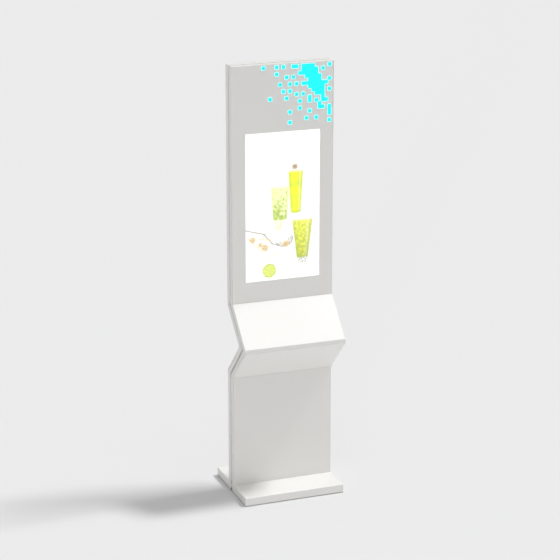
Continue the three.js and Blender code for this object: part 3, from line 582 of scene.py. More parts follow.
def breadth(face):
    """About how wide a face is: the short side of a long strip."""
    return 2 * face.calc_area() / face.calc_perimeter()


def finer(node, finish=None, edge=0.25 * MM, fold=0.0, least=0.0, smooth=35, choose=None, more=()):
    """A finer copy of a node that stands for it: its folds rounded and its cut edges broken.

    Folds are the corners between two broad faces. Edges shorter than least stay sharp. choose gives
    the number of a face's finish, where more finishes follow the first.
    """
    body = bmesh.new()
    body.from_mesh(frame["nodes"][node].data)
    bmesh.ops.remove_doubles(body, verts=body.verts, dist=0.004 * MM)
    bmesh.ops.dissolve_limit(
        body, angle_limit=math.radians(0.4), verts=body.verts, edges=body.edges
    )
    weight = body.edges.layers.float.new("bevel_weight_edge")
    widest = max(fold, edge)
    for line in body.edges:
        if len(line.link_faces) != 2 or line.calc_length() < least:
            continue
        if line.calc_face_angle(0.0) < math.radians(smooth):
            continue
        broad = min(breadth(face) for face in line.link_faces) > 4 * MM
        line[weight] = 1.0 if fold and broad and line.is_convex else edge / widest
    mesh = bpy.data.meshes.new(f"{node}_finer")
    if choose:
        for face in body.faces:
            face.material_index = choose(face)
    body.to_mesh(mesh)
    body.free()
    mesh.shade_smooth()
    mesh.set_sharp_from_angle(angle=math.radians(smooth))
    work = bpy.data.objects.new(f"{node}_work", mesh)
    bpy.context.scene.collection.objects.link(work)
    bevel = work.modifiers.new("edges", "BEVEL")
    bevel.limit_method = "WEIGHT"
    bevel.width = widest
    bevel.segments = 4 if fold else 2
    bevel.use_clamp_overlap = False
    bevel.miter_outer = "MITER_SHARP"
    flat = work.modifiers.new("flat faces", "WEIGHTED_NORMAL")
    flat.weight = 100
    flat.keep_sharp = True
    mesh = plain_mesh(work, f"{node}_finer")
    # a sharp mitre can carry a corner a few hundredths of a millimetre past the sheet
    low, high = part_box(node)
    for vertex in mesh.vertices:
        vertex.co = [min(max(part, a), b) for part, a, b in zip(vertex.co, low, high)]
    names = [finish or SLOT_OF[node], *more]
    materials = [name if isinstance(name, bpy.types.Material) else finish_for(name) for name in names]
    piece = settle(f"{node}_finer", mesh, BODY_OF[node], SLOT_OF[node], *materials)
    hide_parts(node)
    return piece


def template(name, body, smooth=35):
    """A small shape for a tree to repeat. It is removed when the tree has run."""
    mesh = bpy.data.meshes.new(name)
    bmesh.ops.recalc_face_normals(body, faces=body.faces)
    body.to_mesh(mesh)
    body.free()
    mesh.shade_smooth()
    mesh.set_sharp_from_angle(angle=math.radians(smooth))
    shape = bpy.data.objects.new(name, mesh)
    bpy.context.scene.collection.objects.link(shape)
    return shape


def ringed(rings, cap_first=True, cap_last=True):
    """A closed shape through rings of points, each ring with the same number of points."""
    body = bmesh.new()
    rows = [[body.verts.new(point) for point in ring] for ring in rings]
    count = len(rows[0])
    for near, far in zip(rows, rows[1:]):
        for i in range(count):
            j = (i + 1) % count
            body.faces.new((near[i], near[j], far[j], far[i]))
    if cap_first:
        body.faces.new(rows[0][::-1])
    if cap_last:
        body.faces.new(rows[-1])
    return body


def circle(radius, height, sides, turn=0.0):
    """A ring of points round the Z axis."""
    return [
        (
            radius * math.cos(turn + 2 * math.pi * i / sides),
            radius * math.sin(turn + 2 * math.pi * i / sides),
            height,
        )
        for i in range(sides)
    ]


def slab(low, high, rounding=0.3 * MM):
    """A block between two corners, with its edges broken."""
    body = bmesh.new()
    bmesh.ops.create_cube(body, size=1.0)
    middle = (Vector(low) + Vector(high)) / 2
    size = Vector(high) - Vector(low)
    for vert in body.verts:
        vert.co = middle + Vector(part * whole for part, whole in zip(vert.co, size))
    if rounding:
        bmesh.ops.bevel(
            body, geom=body.edges, offset=rounding, segments=2, affect="EDGES", profile=0.5
        )
    return body


def joined(*bodies):
    """Several shapes in one."""
    whole = bmesh.new()
    for body in bodies:
        mesh = bpy.data.meshes.new("joining")
        body.to_mesh(mesh)
        body.free()
        whole.from_mesh(mesh)
        bpy.data.meshes.remove(mesh)
    return whole


def piece_of(name, body, slot, finish, shape, smooth=35):
    """A piece made straight from one shape."""
    work = template(f"{name}_work", shape, smooth)
    mesh = plain_mesh(work, name)
    return settle(name, mesh, body, slot, finish_for(finish))


# ---------------------------------------------------------------- repeated shapes


def new_tree(name, **inputs):
    """An empty Geometry Nodes tree with named inputs, and the identifiers of those inputs."""
    tree = bpy.data.node_groups.new(name, "GeometryNodeTree")
    tree.interface.new_socket("Geometry", in_out="INPUT", socket_type="NodeSocketGeometry")
    named = {}
    for label, kind in {**inputs, "Finish": "Material"}.items():
        socket = tree.interface.new_socket(
            label.replace("_", " "), in_out="INPUT", socket_type=f"NodeSocket{kind}"
        )
        named[label] = socket.identifier
    tree.interface.new_socket("Geometry", in_out="OUTPUT", socket_type="NodeSocketGeometry")
    return tree, named


def close_tree(tree, geometry, finish):
    """The end of every tree: real geometry, in its finish."""
    real = output(tree, "GeometryNodeRealizeInstances", sockets={0: geometry})
    clad = output(
        tree, "GeometryNodeSetMaterial", sockets={"Geometry": real, "Material": finish}
    )
    add(tree, "NodeGroupOutput", sockets={0: clad})


def shape_from(tree, given):
    """The geometry of the object in a tree's Shape input."""
    sockets = {"Object": given["Shape"], "As Instance": True}
    return output(tree, "GeometryNodeObjectInfo", sockets=sockets, number="Geometry")


def set_on(tree, points, shape, **sockets):
    """A shape set on each point."""
    sockets = {"Points": points, "Instance": shape, **sockets}
    return output(tree, "GeometryNodeInstanceOnPoints", sockets=sockets)


def stood_up(tree, geometry, middle):
    """What lies flat round the origin, turned upright and moved to its middle."""
    sockets = {"Geometry": geometry, "Translation": middle, "Rotation": (math.pi / 2, 0, 0)}
    return output(tree, "GeometryNodeTransform", sockets=sockets)


def heap(tree, count):
    """A number of points, all at the origin."""
    return output(tree, "GeometryNodeMeshLine", sockets={"Count": count, "Offset": (0, 0, 0)})


def round_line(tree, resolution, radius):
    """A circle as a curve."""
    sockets = {"Resolution": resolution, "Radius": radius}
    return output(tree, "GeometryNodeCurvePrimitiveCircle", sockets=sockets)


def points_tree():
    """Sets a shape on each point, its Z axis along the point's facing, turned at random."""
    tree, named = new_tree("Set on points", Shape="Object", Turn="Float", Seed="Int")
    given = add(tree, "NodeGroupInput").outputs
    facing = output(
        tree, "GeometryNodeInputNamedAttribute", {"data_type": "FLOAT_VECTOR"}, {"Name": "facing"}
    )
    upright = output(tree, "FunctionNodeAlignRotationToVector", {"axis": "Z"}, {"Vector": facing})
    angle = output(
        tree,
        "FunctionNodeRandomValue",
        {"data_type": "FLOAT"},
        {2: 0.0, 3: given["Turn"], "Seed": given["Seed"]},
        number=1,
    )
    spin = output(
        tree, "FunctionNodeAxisAngleToRotation", sockets={"Axis": (0, 0, 1), "Angle": angle}
    )
    turned = output(
        tree, "FunctionNodeRotateRotation", {"rotation_space": "LOCAL"}, {0: upright, 1: spin}
    )
    placed = set_on(tree, given["Geometry"], shape_from(tree, given), Rotation=turned)
    close_tree(tree, placed, given["Finish"])
    return tree, named


def grid_tree():
    """Sets a shape at each crossing of an upright grid that faces back."""
    tree, named = new_tree(
        "Set in a grid",
        Shape="Object",
        Columns="Int",
        Rows="Int",
        Column_pitch="Float",
        Row_pitch="Float",
        Middle="Vector",
    )
    given = add(tree, "NodeGroupInput").outputs
    spans = [
        reckon(tree, "MULTIPLY", reckon(tree, "SUBTRACT", given[count], 1.0), given[pitch])
        for count, pitch in (("Columns", "Column pitch"), ("Rows", "Row pitch"))
    ]
    grid = output(
        tree,
        "GeometryNodeMeshGrid",
        sockets={
            "Size X": spans[0],
            "Size Y": spans[1],
            "Vertices X": given["Columns"],
            "Vertices Y": given["Rows"],
        },
    )
    placed = set_on(tree, stood_up(tree, grid, given["Middle"]), shape_from(tree, given))
    close_tree(tree, placed, given["Finish"])
    return tree, named


def guard_tree():
    """A wire guard: rings of wire round the Y axis, held by straight spokes."""
    tree, named = new_tree(
        "Wire guard",
        Rings="Int",
        First_ring="Float",
        Ring_pitch="Float",
        Wire="Float",
        Reach="Float",
        Middle="Vector",
    )
    given = add(tree, "NodeGroupInput").outputs
    index = output(tree, "GeometryNodeInputIndex")
    size = reckon(tree, "MULTIPLY_ADD", index, given["Ring pitch"], given["First ring"])
    rings = set_on(tree, heap(tree, given["Rings"]), round_line(tree, 40, 1.0), Scale=size)
    start_of, end_of = (
        output(tree, "ShaderNodeCombineXYZ", sockets={"X": given[end]})
        for end in ("First ring", "Reach")
    )
    spoke = output(
        tree, "GeometryNodeCurvePrimitiveLine", sockets={"Start": start_of, "End": end_of}
    )
    quarter = reckon(tree, "MULTIPLY_ADD", index, math.pi / 2, math.pi / 4)
    heading = output(tree, "ShaderNodeCombineXYZ", sockets={"Z": quarter})
    spokes = set_on(tree, heap(tree, 4), spoke, Rotation=heading)
    both = add(tree, "GeometryNodeJoinGeometry")
    for lines in (rings, spokes):
        tree.links.new(lines, both.inputs[0])
    wires = output(
        tree,
        "GeometryNodeCurveToMesh",
        sockets={
            "Curve": output(tree, "GeometryNodeRealizeInstances", sockets={0: both.outputs[0]}),
            "Profile Curve": round_line(tree, 8, given["Wire"]),
            "Fill Caps": True,
        },
    )
    close_tree(tree, stood_up(tree, wires, given["Middle"]), given["Finish"])
    return tree, named


TREES = {"points": points_tree, "grid": grid_tree, "guard": guard_tree}
made_trees = {}


def repeat(name, kind, body, slot, finish, source=None, smooth=35, **inputs):
    """Runs a tree on a mesh and settles what it makes as one plain piece on one body."""
    if kind not in made_trees:
        made_trees[kind] = TREES[kind]()
    tree, named = made_trees[kind]
    work = bpy.data.objects.new(f"{name}_work", source or bpy.data.meshes.new(f"{name}_points"))
    bpy.context.scene.collection.objects.link(work)
    modifier = work.modifiers.new("repeat", "NODES")
    modifier.node_group = tree
    material = finish_for(finish)
    for label, value in {**inputs, "Finish": material}.items():
        modifier[named[label]] = value
    mesh = plain_mesh(work, name)
    if not mesh.vertices:
        raise RuntimeError(f"the tree made nothing for {name}")
    mesh.shade_smooth()
    mesh.set_sharp_from_angle(angle=math.radians(smooth))
    return settle(name, mesh, body, slot, material)


def points_mesh(name, places):
    """A mesh of single points, each with the way it faces."""
    mesh = bpy.data.meshes.new(name)
    mesh.from_pydata([point for point, facing in places], [], [])
    facing = mesh.attributes.new("facing", "FLOAT_VECTOR", "POINT")
    for value, (point, way) in zip(facing.data, places):
        value.vector = way
    return mesh


def on_points(name, shape, places, body, slot, finish, turn=2 * math.pi):
    """Sets a shape on points and settles them as one piece."""
    seed = bpy.context.scene.kiosk_fasteners.seed
    source = points_mesh(f"{name}_points", places)
    piece = repeat(
        name, "points", body, slot, finish, source, Shape=shape, Turn=turn, Seed=seed
    )
    return piece


# ---------------------------------------------------------------- stage


class KIOSK_OT_stage(bpy.types.Operator):
    """Set up the camera, the floor and the lights"""

    bl_idname = "kiosk.stage"
    bl_label = "Stage"

    def execute(self, context):
        stage = context.scene.kiosk_stage
        camera = bpy.data.cameras.new("Camera")
        camera.lens = stage.lens
        camera.sensor_width = 36
        camera.clip_end = 4 * stage.floor_half
        viewer = bpy.data.objects.new("Camera", camera)
        viewer.location = stage.camera_place
        viewer.rotation_euler = stage.camera_turn
        context.scene.collection.objects.link(viewer)
        context.scene.camera = viewer

        half = stage.floor_half
        mesh = bpy.data.meshes.new("studio_floor")
        corners = [(-half, -half, 0), (half, -half, 0), (half, half, 0), (-half, half, 0)]
        mesh.from_pydata(corners, [], [(0, 1, 2, 3)])
        base = tuple(stage.floor_colour)
        matt = speckled("Matt floor paint", base, 0.002, (0.9, 0.95), 4 * MM, 0.01 * MM)[0]
        matt.node_tree.nodes["Principled BSDF"].inputs["Specular IOR Level"].default_value = 0.0
        mesh.materials.append(matt)
        floor = bpy.data.objects.new("studio_floor", mesh)
        context.scene.collection.objects.link(floor)

        world = bpy.data.worlds.new("Studio")
        world.use_nodes = True
        tree = world.node_tree
        tree.nodes.clear()
        way = output(tree, "ShaderNodeTexCoord", number="Generated")
        up = output(tree, "ShaderNodeSeparateXYZ", sockets={0: way}, number=2)
        lift = reckon(tree, "MULTIPLY", up, up)
        radiance = reckon(tree, "MULTIPLY_ADD", lift, stage.sky_rise, stage.sky_low)
        tint = blend(tree, lift, tuple(stage.horizon), tuple(stage.zenith))
        sky = output(tree, "ShaderNodeBackground", sockets={0: tint, 1: radiance})
        plain = output(tree, "ShaderNodeBackground", sockets={0: tuple(stage.backdrop), 1: 1.0})
        seen = output(tree, "ShaderNodeLightPath", number="Is Camera Ray")
        both = output(tree, "ShaderNodeMixShader", sockets={0: seen, 1: sky, 2: plain})
        add(tree, "ShaderNodeOutputWorld", sockets={0: both})
        context.scene.world = world

        for name, energy, size, height, heading in (
            ("Key", stage.sun, stage.sun_size, stage.sun_height, stage.sun_heading),
            ("Fill", stage.fill, stage.fill_size, stage.fill_height, stage.fill_heading),
        ):
            light = bpy.data.lights.new(name, "SUN")
            light.energy = energy
            light.angle = size
            lamp = bpy.data.objects.new(name, light)
            level = math.cos(height)
            towards = Vector(
                (level * math.cos(heading), -level * math.sin(heading), math.sin(height))
            )
            lamp.rotation_euler = towards.to_track_quat("Z", "Y").to_euler()
            lamp.location = towards * 3
            context.scene.collection.objects.link(lamp)

        context.scene.view_settings.view_transform = "Standard"
        context.scene.view_settings.look = "None"
        return {"FINISHED"}


# ---------------------------------------------------------------- sheet steel


class KIOSK_OT_panels(bpy.types.Operator):
    """Round the folds and break the edges of the coated trays, doors and base covers"""

    bl_idname = "kiosk.panels"
    bl_label = "Coated panels"

    def execute(self, context):
        coat = context.scene.kiosk_coat
        skins = [
            "display_fascia",
            "console_deck",
            "console_soffit",
            "lower_front_panel",
            "rear_slope_upper",
            "rear_slope_lower",
            "upper_rear_door",
            "lower_rear_door",
            "base_cover_front",
            "base_cover_rear",
        ]
        for node in skins:
            finer(node, edge=coat.edge, fold=coat.fold, least=20 * MM)
        return {"FINISHED"}


class KIOSK_OT_core(bpy.types.Operator):
    """Finish the side plates and the top plate that close the core"""

    bl_idname = "kiosk.core"
    bl_label = "Core plates"

    def execute(self, context):
        for node in ("left_side_plate", "right_side_plate", "top_plate"):
            finer(node, edge=context.scene.kiosk_coat.edge, least=20 * MM)
        return {"FINISHED"}


# ---------------------------------------------------------------- display


def soft(distance, blur):
    """How far inside an outline a point is, from 0 to 1, by its distance outside it."""
    return min(max(0.5 - distance / blur, 0.0), 1.0)


def beaker(x, z, middle, top, foot, half_top, half_foot):
    """Distance outside a tapered glass: its middle, the heights of its ends and their half-widths."""
    rise = min(max((z - foot) / (top - foot), 0.0), 1.0)
    half = half_foot + (half_top - half_foot) * rise
    bow = 5 * (1 - ((x - middle) / half) ** 2) if abs(x - middle) < half else 0
    return max(abs(x - middle) - half, z - top, foot - bow - z)


def stroke(x, z, ends, half):
    """Distance outside a straight stroke between two points."""
    (x0, z0), (x1, z1) = ends
    along = ((x - x0) * (x1 - x0) + (z - z0) * (z1 - z0)) / ((x1 - x0) ** 2 + (z1 - z0) ** 2)
    along = min(max(along, 0.0), 1.0)
    return math.hypot(x - x0 - along * (x1 - x0), z - z0 - along * (z1 - z0)) - half


def mixed(first, second, part):
    """A linear colour between two."""
    return [a + (b - a) * part for a, b in zip(first, second)]


def glassful(tint, x, z, glass, tone, dark, blur):
    """A colour with a full glass over it: darker at its sides, with a pale streak and a pale rim."""
    middle, top, foot, half_top, half_foot = glass
    rise = min(max((z - foot) / (top - foot), 0.0), 1.0)
    aside = (x - middle) / (half_foot + (half_top - half_foot) * rise)
    tone = mixed(tone, dark, 0.45 * min(abs(aside), 1.0) ** 3)
    tone = mixed(tone, (1, 1, 1), 0.4 * soft((abs(aside - 0.6) - 0.06) * 30, 5))
    tone = mixed(tone, (1, 1, 1), 0.6 * soft(abs(z - top + 5) - 1, 5))
    tone = mixed(tone, dark, 0.5 * soft(z - foot - 5, 12))
    return mixed(tint, tone, soft(beaker(x, z, *glass), blur))


def on_the_table(tint, x, z, inks, fleck):
    """The things that cross the lower part: a board's edge, a spoon, a bowl and some slices."""
    board, fruit = inks[3:]
    for ends, half, ink, part in (
        (((-184, 252), (-94, 227)), 2.2, board, 0.95),
        (((-94, 227), (-50, 176)), 3.0, board, 0.8),
        (((-171, 211), (-107, 146)), 2.6, fruit, 0.9),
        (((-50, 176), (-18, 166)), 2.4, board, 0.75),
        (((-120, 205), (-60, 196)), 4.0, fruit, 0.7),
        (((-107, 83), (-22, 136)), 1.6, fruit, 0.9),
        (((-94, 227), (-18, 214)), 1.6, board, 0.6),
        (((141, 126), (173, 213)), 1.8, board, 0.6),
    ):
        tint = mixed(tint, ink, part * soft(stroke(x, z, ends, half + fleck), 4))
    bowl = math.hypot(x - 6, (z - 196) * 1.2)
    for radius, part in ((44, 0.9), (36, 0.6), (27, 0.75)):
        ring = soft(abs(bowl - radius) - 2.4 - 3 * fleck, 4)
        turn = soft((z - 200) + 0.4 * (6 - x), 26)
        tint = mixed(tint, board, part * ring * turn)
    for middle, radius in (((-150, 203), 15), ((-88, 160), 18), ((-112, 176), 12), ((18, 172), 16)):
        away = math.hypot(x - middle[0], z - middle[1]) - radius
        tint = mixed(tint, mixed(fruit, board, 0.25 + fleck), 0.9 * soft(away + 7 * fleck, 8))
    return tint


def glasses(tint, x, z, inks, grain):
    """A tall glass behind, a low one with herbs, a pale one between, and a tapered one in front."""
    ground, juice, leaf, board = inks[:4]
    mottle, fleck, cloud = grain
    tall = mixed(juice, leaf, 0.12 + 0.3 * cloud)
    tint = glassful(tint, x, z, (67, 523, 322, 37, 25), tall, leaf, 6)
    herbs = min(max((410 - z) / 110 + 1.1 * mottle + 0.5 * cloud, 0), 1)
    low = mixed(mixed(ground, juice, 0.5), mixed(leaf, juice, 0.15 + 0.6 * fleck), 0.85 * herbs)
    tint = glassful(tint, x, z, (-12, 452, 292, 45, 34), low, mixed(leaf, juice, 0.4), 10)
    fading = mixed(ground, mixed(juice, leaf, 0.3), 0.55 + mottle)
    tint = mixed(tint, fading, 0.6 * soft(beaker(x, z, -22, 290, 232, 26, 18) + 6 * mottle, 16))
    cloudy = min(max(0.5 + 0.5 * mottle + 0.5 * fleck + (200 - z) / 300, 0), 0.95)
    near = mixed(mixed(juice, ground, 0.1), mixed(leaf, mixed(juice, board, 0.5), 0.55), cloudy)
    tint = glassful(tint, x, z, (101, 284, 98, 52, 28), near, mixed(leaf, board, 0.3), 6)
    heel = beaker(x, z, 102, 98, 72, 28, 24)
    return mixed(tint, mixed(ground, board, 0.45 + 1.2 * fleck), 0.7 * soft(heel, 7))


def garnishes(tint, x, z, inks, fleck):
    """A garnish on the tall glass, and a slice of lime at the front."""
    juice, leaf, board, fruit = inks[1:]
    garnish = math.hypot(x - 62, (z - 541) * 1.1) - 15 + 9 * fleck
    tint = mixed(tint, mixed(fruit, board, 0.75 + 1.4 * fleck), 0.9 * soft(garnish, 5))
    lime = math.hypot(x + 66, z - 46)
    spokes = 0.5 + 0.5 * math.cos(8 * math.atan2(z - 46, x + 66))
    flesh = mixed(leaf, juice, min(max(0.45 + 0.35 * spokes * (lime < 27) + 0.8 * fleck, 0), 1))
    return mixed(tint, flesh, 0.85 * soft(lime - 35 + 4 * fleck, 5))


def drawn(x, z, inks):
    """The picture's colour at a point, in millimetres from the foot of the window's middle line."""
    ground, juice, board = inks[0], inks[1], inks[3]
    mottle = noise.noise(Vector((x / 13, 0, z / 13)))
    fleck = noise.noise(Vector((x / 5, 5, z / 5)))
    cloud = noise.noise(Vector((x / 34, 9, z / 34)))
    # a soft glow behind the glasses, and a shadow under them
    pale = mixed(ground, juice, 0.42)
    tint = mixed(ground, pale, 0.3 * soft(math.hypot((x - 20) / 1.1, (z - 400) / 1.6) - 50, 90))
    tint = mixed(tint, board, 0.1 * soft(math.hypot(x - 30, (z - 120) * 2) - 90, 120))
    tint = on_the_table(tint, x, z, inks, fleck)
    tint = glasses(tint, x, z, inks, (mottle, fleck, cloud))
    tint = garnishes(tint, x, z, inks, fleck)
    return (*[min(max(part, 0.0), 1.0) for part in tint[:3]], 1.0)


class KIOSK_OT_screen(bpy.types.Operator):
    """Make the display: its glass, its picture, its panel and its gasket"""

    bl_idname = "kiosk.screen"
    bl_label = "Display"

    def execute(self, context):
        settings = context.scene.kiosk_picture
        edges = {"touch_glass": 0.6, "lcd_panel": 0.8, "lcd_chassis": 1.0, "display_gasket": 0.2}
        for node, edge in edges.items():
            finer(node, edge=edge * MM)
        low, high = box_mm("touch_glass")
        front = box_mm("lcd_panel")[0].y
        cell = settings.cell / MM
        columns = round((high.x - low.x) / cell)
        rows = round((high.z - low.z) / cell)
        inks = [
            tuple(ink)[:3]
            for ink in (settings.ground, settings.juice, settings.leaf, settings.board, settings.fruit)
        ]
        points, colours = [], []
        window_foot = low.z + GLASS_LAP
        for row in range(rows + 1):
            z = low.z + (high.z - low.z) * row / rows
            for column in range(columns + 1):
                x = low.x + (high.x - low.x) * column / columns
                points.append(place(x, (high.y + front) / 2, z))
                colours.append(drawn(x, z - window_foot, inks))
        wide = columns + 1
        faces = [
            (i, i + 1, i + 1 + wide, i + wide)
            for row in range(rows)
            for i in range(row * wide, row * wide + columns)
        ]
        mesh = bpy.data.meshes.new("display_picture")
        mesh.from_pydata(points, [], faces)
        attribute = mesh.color_attributes.new("picture", "FLOAT_COLOR", "POINT")
        attribute.data.foreach_set("color", [part for tint in colours for part in tint])
        settle("display_picture", mesh, "root", "lcd_black", display_picture("Lit display"))
        return {"FINISHED"}


# ---------------------------------------------------------------- lit tiles


def tile_middles():
    """The middle of each lit tile, in millimetres, by the light plate's foremost faces."""
    mesh = frame["nodes"]["pixel_light_plate"].data
    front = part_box("pixel_light_plate")[0].y
    faces = [face for face in mesh.polygons if abs(face.center.y - front) < 0.1 * MM]
    middles = set()
    for face in faces:
        corners = [mesh.vertices[i].co for i in face.vertices]
        xs = [corner.x for corner in corners]
        zs = [corner.z for corner in corners]
        middles.add(
            (round((min(xs) + max(xs)) / 2 / MM, 2), round((min(zs) + max(zs)) / 2 / MM, 2))
        )
    return sorted(middles)


def least_step(values):
    """The smallest real step between sorted values."""
    values = sorted(set(values))
    return min(b - a for a, b in zip(values, values[1:]) if b - a > 1)


class KIOSK_OT_pixel_light(bpy.types.Operator):
    """Light the acrylic tiles, and set the LEDs and drivers on their board"""

    bl_idname = "kiosk.pixel_light"
    bl_label = "Pixel light"

    def execute(self, context):
        pixels = context.scene.kiosk_pixels
        middles = tile_middles()
        step = least_step([x for x, z in middles])
        pitch = step * MM
        first = place(middles[0][0], 0, middles[0][1])
        heart, rim = tuple(pixels.heart), tuple(pixels.rim)
        finishes = (
            lit_acrylic("Lit opal acrylic", pitch, first, heart, rim, pixels.glow),
            lit_acrylic("Lit opal acrylic, tile sides", pitch, first, rim, rim, pixels.side_glow),
            lit_acrylic("Lit opal acrylic, crowded", pitch, first, rim, rim, pixels.glow),
        )

        def lit_by(face):
            """0 for the face of a tile that stands alone, 2 for one in a crowd, 1 for its sides."""
            point = (face.calc_center_median() - Vector((0, POST_FRONT, 0))) / MM
            if point.y > 1:
                return 0
            if abs(face.normal.y) < 0.5:
                return 1
            near = [
                tile
                for tile in middles
                if max(abs(tile[0] - point.x), abs(tile[1] - point.z)) < 1.1 * step
            ]
            return 0 if len(near) == 1 else 2

        finer(
            "pixel_light_plate",
            finishes[0],
            edge=pixels.edge,
            least=10 * MM,
            choose=lit_by,
            more=finishes[1:],
        )
        finer("pixel_led_board", edge=0.15 * MM)
        low, high = box_mm("pixel_led_board")
        board_front, board_rear = high.y - LED_BOARD, high.y
        half = pixels.led / 2
        shape = template("led_package", slab((-half, -half, 0), (half, half, 1.4 * MM), 0.2 * MM))
        places = [(place(x, board_front, z), (0, -1, 0)) for x, z in middles]
        on_points("pixel_leds", shape, places, "root", "circuit_board", "led_white", turn=0.0)
        bpy.data.objects.remove(shape)

        chip = template("driver_chip", slab((-3.2 * MM, -5 * MM, 0), (3.2 * MM, 5 * MM, 1.6 * MM)))
        step = (high.x - low.x) / 6
        drivers = [
            (place(low.x + step * (i + 0.5), board_rear, z), (0, 1, 0))
            for i in range(6)
            for z in (low.z + 60, high.z - 60)
        ]
        on_points("pixel_drivers", chip, drivers, "root", "black_plastic", "black_chip", turn=0.0)
        bpy.data.objects.remove(chip)
        middle = (low.x + high.x) / 2
        header = joined(
            *[
                slab(
                    place(middle - 15 + HEADER_PITCH * i, board_rear, low.z + 12),
                    place(middle - 8.6 + HEADER_PITCH * i, board_rear + 9, low.z + 21),
                    0.4 * MM,
                )
                for i in range(4)
            ]
        )
        piece_of("pixel_header", "root", "black_plastic", "white_housing", header)
        return {"FINISHED"}


# ---------------------------------------------------------------- doors


def hood_shape():
    """A pressed hood: it swells out from its top edge, closes at its ends and is open below."""
    louvres = bpy.context.scene.kiosk_louvres
    half = SLOT_WIDTH * MM / 2 + louvres.lap
    across = [0.0, 1.2, 2.8, 5.0, 8.0]
    xs = [-half + a * MM for a in across] + [0.0] + [half - a * MM for a in reversed(across)]
    body = bmesh.new()
    rows = []
    for step in range(6):
        down = step / 5
        row = []
        for x in xs:
            end = min((half - abs(x)) / (across[-1] * MM), 1.0)
            swell = math.sin(math.pi / 2 * down**0.8) * math.sin(math.pi / 2 * end)
            z = louvres.height * (0.62 - down)
            row.append(body.verts.new((x, louvres.rise * swell - 0.2 * MM, z)))
        rows.append(row)
    for upper, lower in zip(rows, rows[1:]):
        for i in range(len(xs) - 1):
            body.faces.new((upper[i], lower[i], lower[i + 1], upper[i + 1]))
    return body


def slot_heights(node):
    """Heights of the middles of a door's slots, in millimetres, by their corners on the rear face."""
    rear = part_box(node)[1].y
    edges = sorted(
        {
            round(vertex.co.z / MM, 1)
            for vertex in frame["nodes"][node].data.vertices
            if abs(vertex.co.y - rear) < 0.1 * MM
            and abs(abs(vertex.co.x) / MM - SLOT_WIDTH / 2) < 0.5
        }
    )
    return [(low + high) / 2 for low, high in zip(edges[::2], edges[1::2])]


class KIOSK_OT_louvres(bpy.types.Operator):
    """Press a hood over each ventilation slot of the rear doors"""

    bl_idname = "kiosk.louvres"
    bl_label = "Louvres"

    def execute(self, context):
        louvres = context.scene.kiosk_louvres
        flat = template("hood_flat", hood_shape(), smooth=60)
        thick = flat.modifiers.new("wall", "SOLIDIFY")
        thick.thickness = louvres.sheet
        thick.offset = -1.0
        hood = bpy.data.objects.new("hood", plain_mesh(flat, "hood"))
        context.scene.collection.objects.link(hood)
        low, high = box_mm("upper_rear_door")
        skin, middle = high.y, (low.z + high.z) / 2
        upper = slot_heights("upper_rear_door")
        fields = {
            "upper_intake_louvres": ("upper_door", 3, [z for z in upper if z < middle]),
            "upper_exhaust_louvres": ("upper_door", 1, [z for z in upper if z > middle]),
            "lower_intake_louvres": ("lower_door", 3, slot_heights("lower_rear_door")),
        }
        for name, (body, columns, heights) in fields.items():
            repeat(
                name,
                "grid",
                body,
                "white_powder_coat",
                "white_powder_coat",
                smooth=50,
                Shape=hood,
                Columns=columns,
                Rows=len(heights),
                Column_pitch=COLUMN_PITCH * MM,
                Row_pitch=(heights[1] - heights[0]) * MM,
                Middle=place(0, skin, (heights[0] + heights[-1]) / 2),
            )
        bpy.data.objects.remove(hood)
        return {"FINISHED"}


# ---------------------------------------------------------------- fasteners


def screw_shape():
    """A button-head screw: a low dome with a hex socket, and a short neck below."""
    screws = bpy.context.scene.kiosk_fasteners
    sides = 12
    head, dome, socket = screws.head, screws.dome, screws.socket

    def hexagon(height):
        """A hexagon's corners and the middles of its sides, to match the other rings."""
        reach = [socket, socket * math.cos(math.pi / 6)]
        return [
            (
                reach[i % 2] * math.cos(2 * math.pi * i / sides),
                reach[i % 2] * math.sin(2 * math.pi * i / sides),
                height,
            )
            for i in range(sides)
        ]

    return ringed(
        [
            circle(head * 0.5, -0.3 * MM, sides),
            circle(head, 0.0, sides),
            circle(head * 0.98, dome * 0.22, sides),
            circle(head * 0.88, dome * 0.6, sides),
            circle(head * 0.68, dome * 0.9, sides),
            circle(head * 0.5, dome, sides),
            hexagon(dome),
            hexagon(dome - screws.depth),
        ]
    )


def crease(node):
    """Height in millimetres of a slope's corner at its rear edge."""
    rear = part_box(node)[1].y
    vertices = frame["nodes"][node].data.vertices
    return [vertex.co.z / MM for vertex in vertices if abs(vertex.co.y - rear) < 0.01 * MM][0]


def near_corners(node, aside, down, y, facing):
    """Places near the four corners of a node's box, at one depth, and the way they face."""
    low, high = box_mm(node)
    return [
        (place(x, y, z), facing)
        for x in (low.x + aside, high.x - aside)
        for z in (low.z + down, high.z - down)
    ]


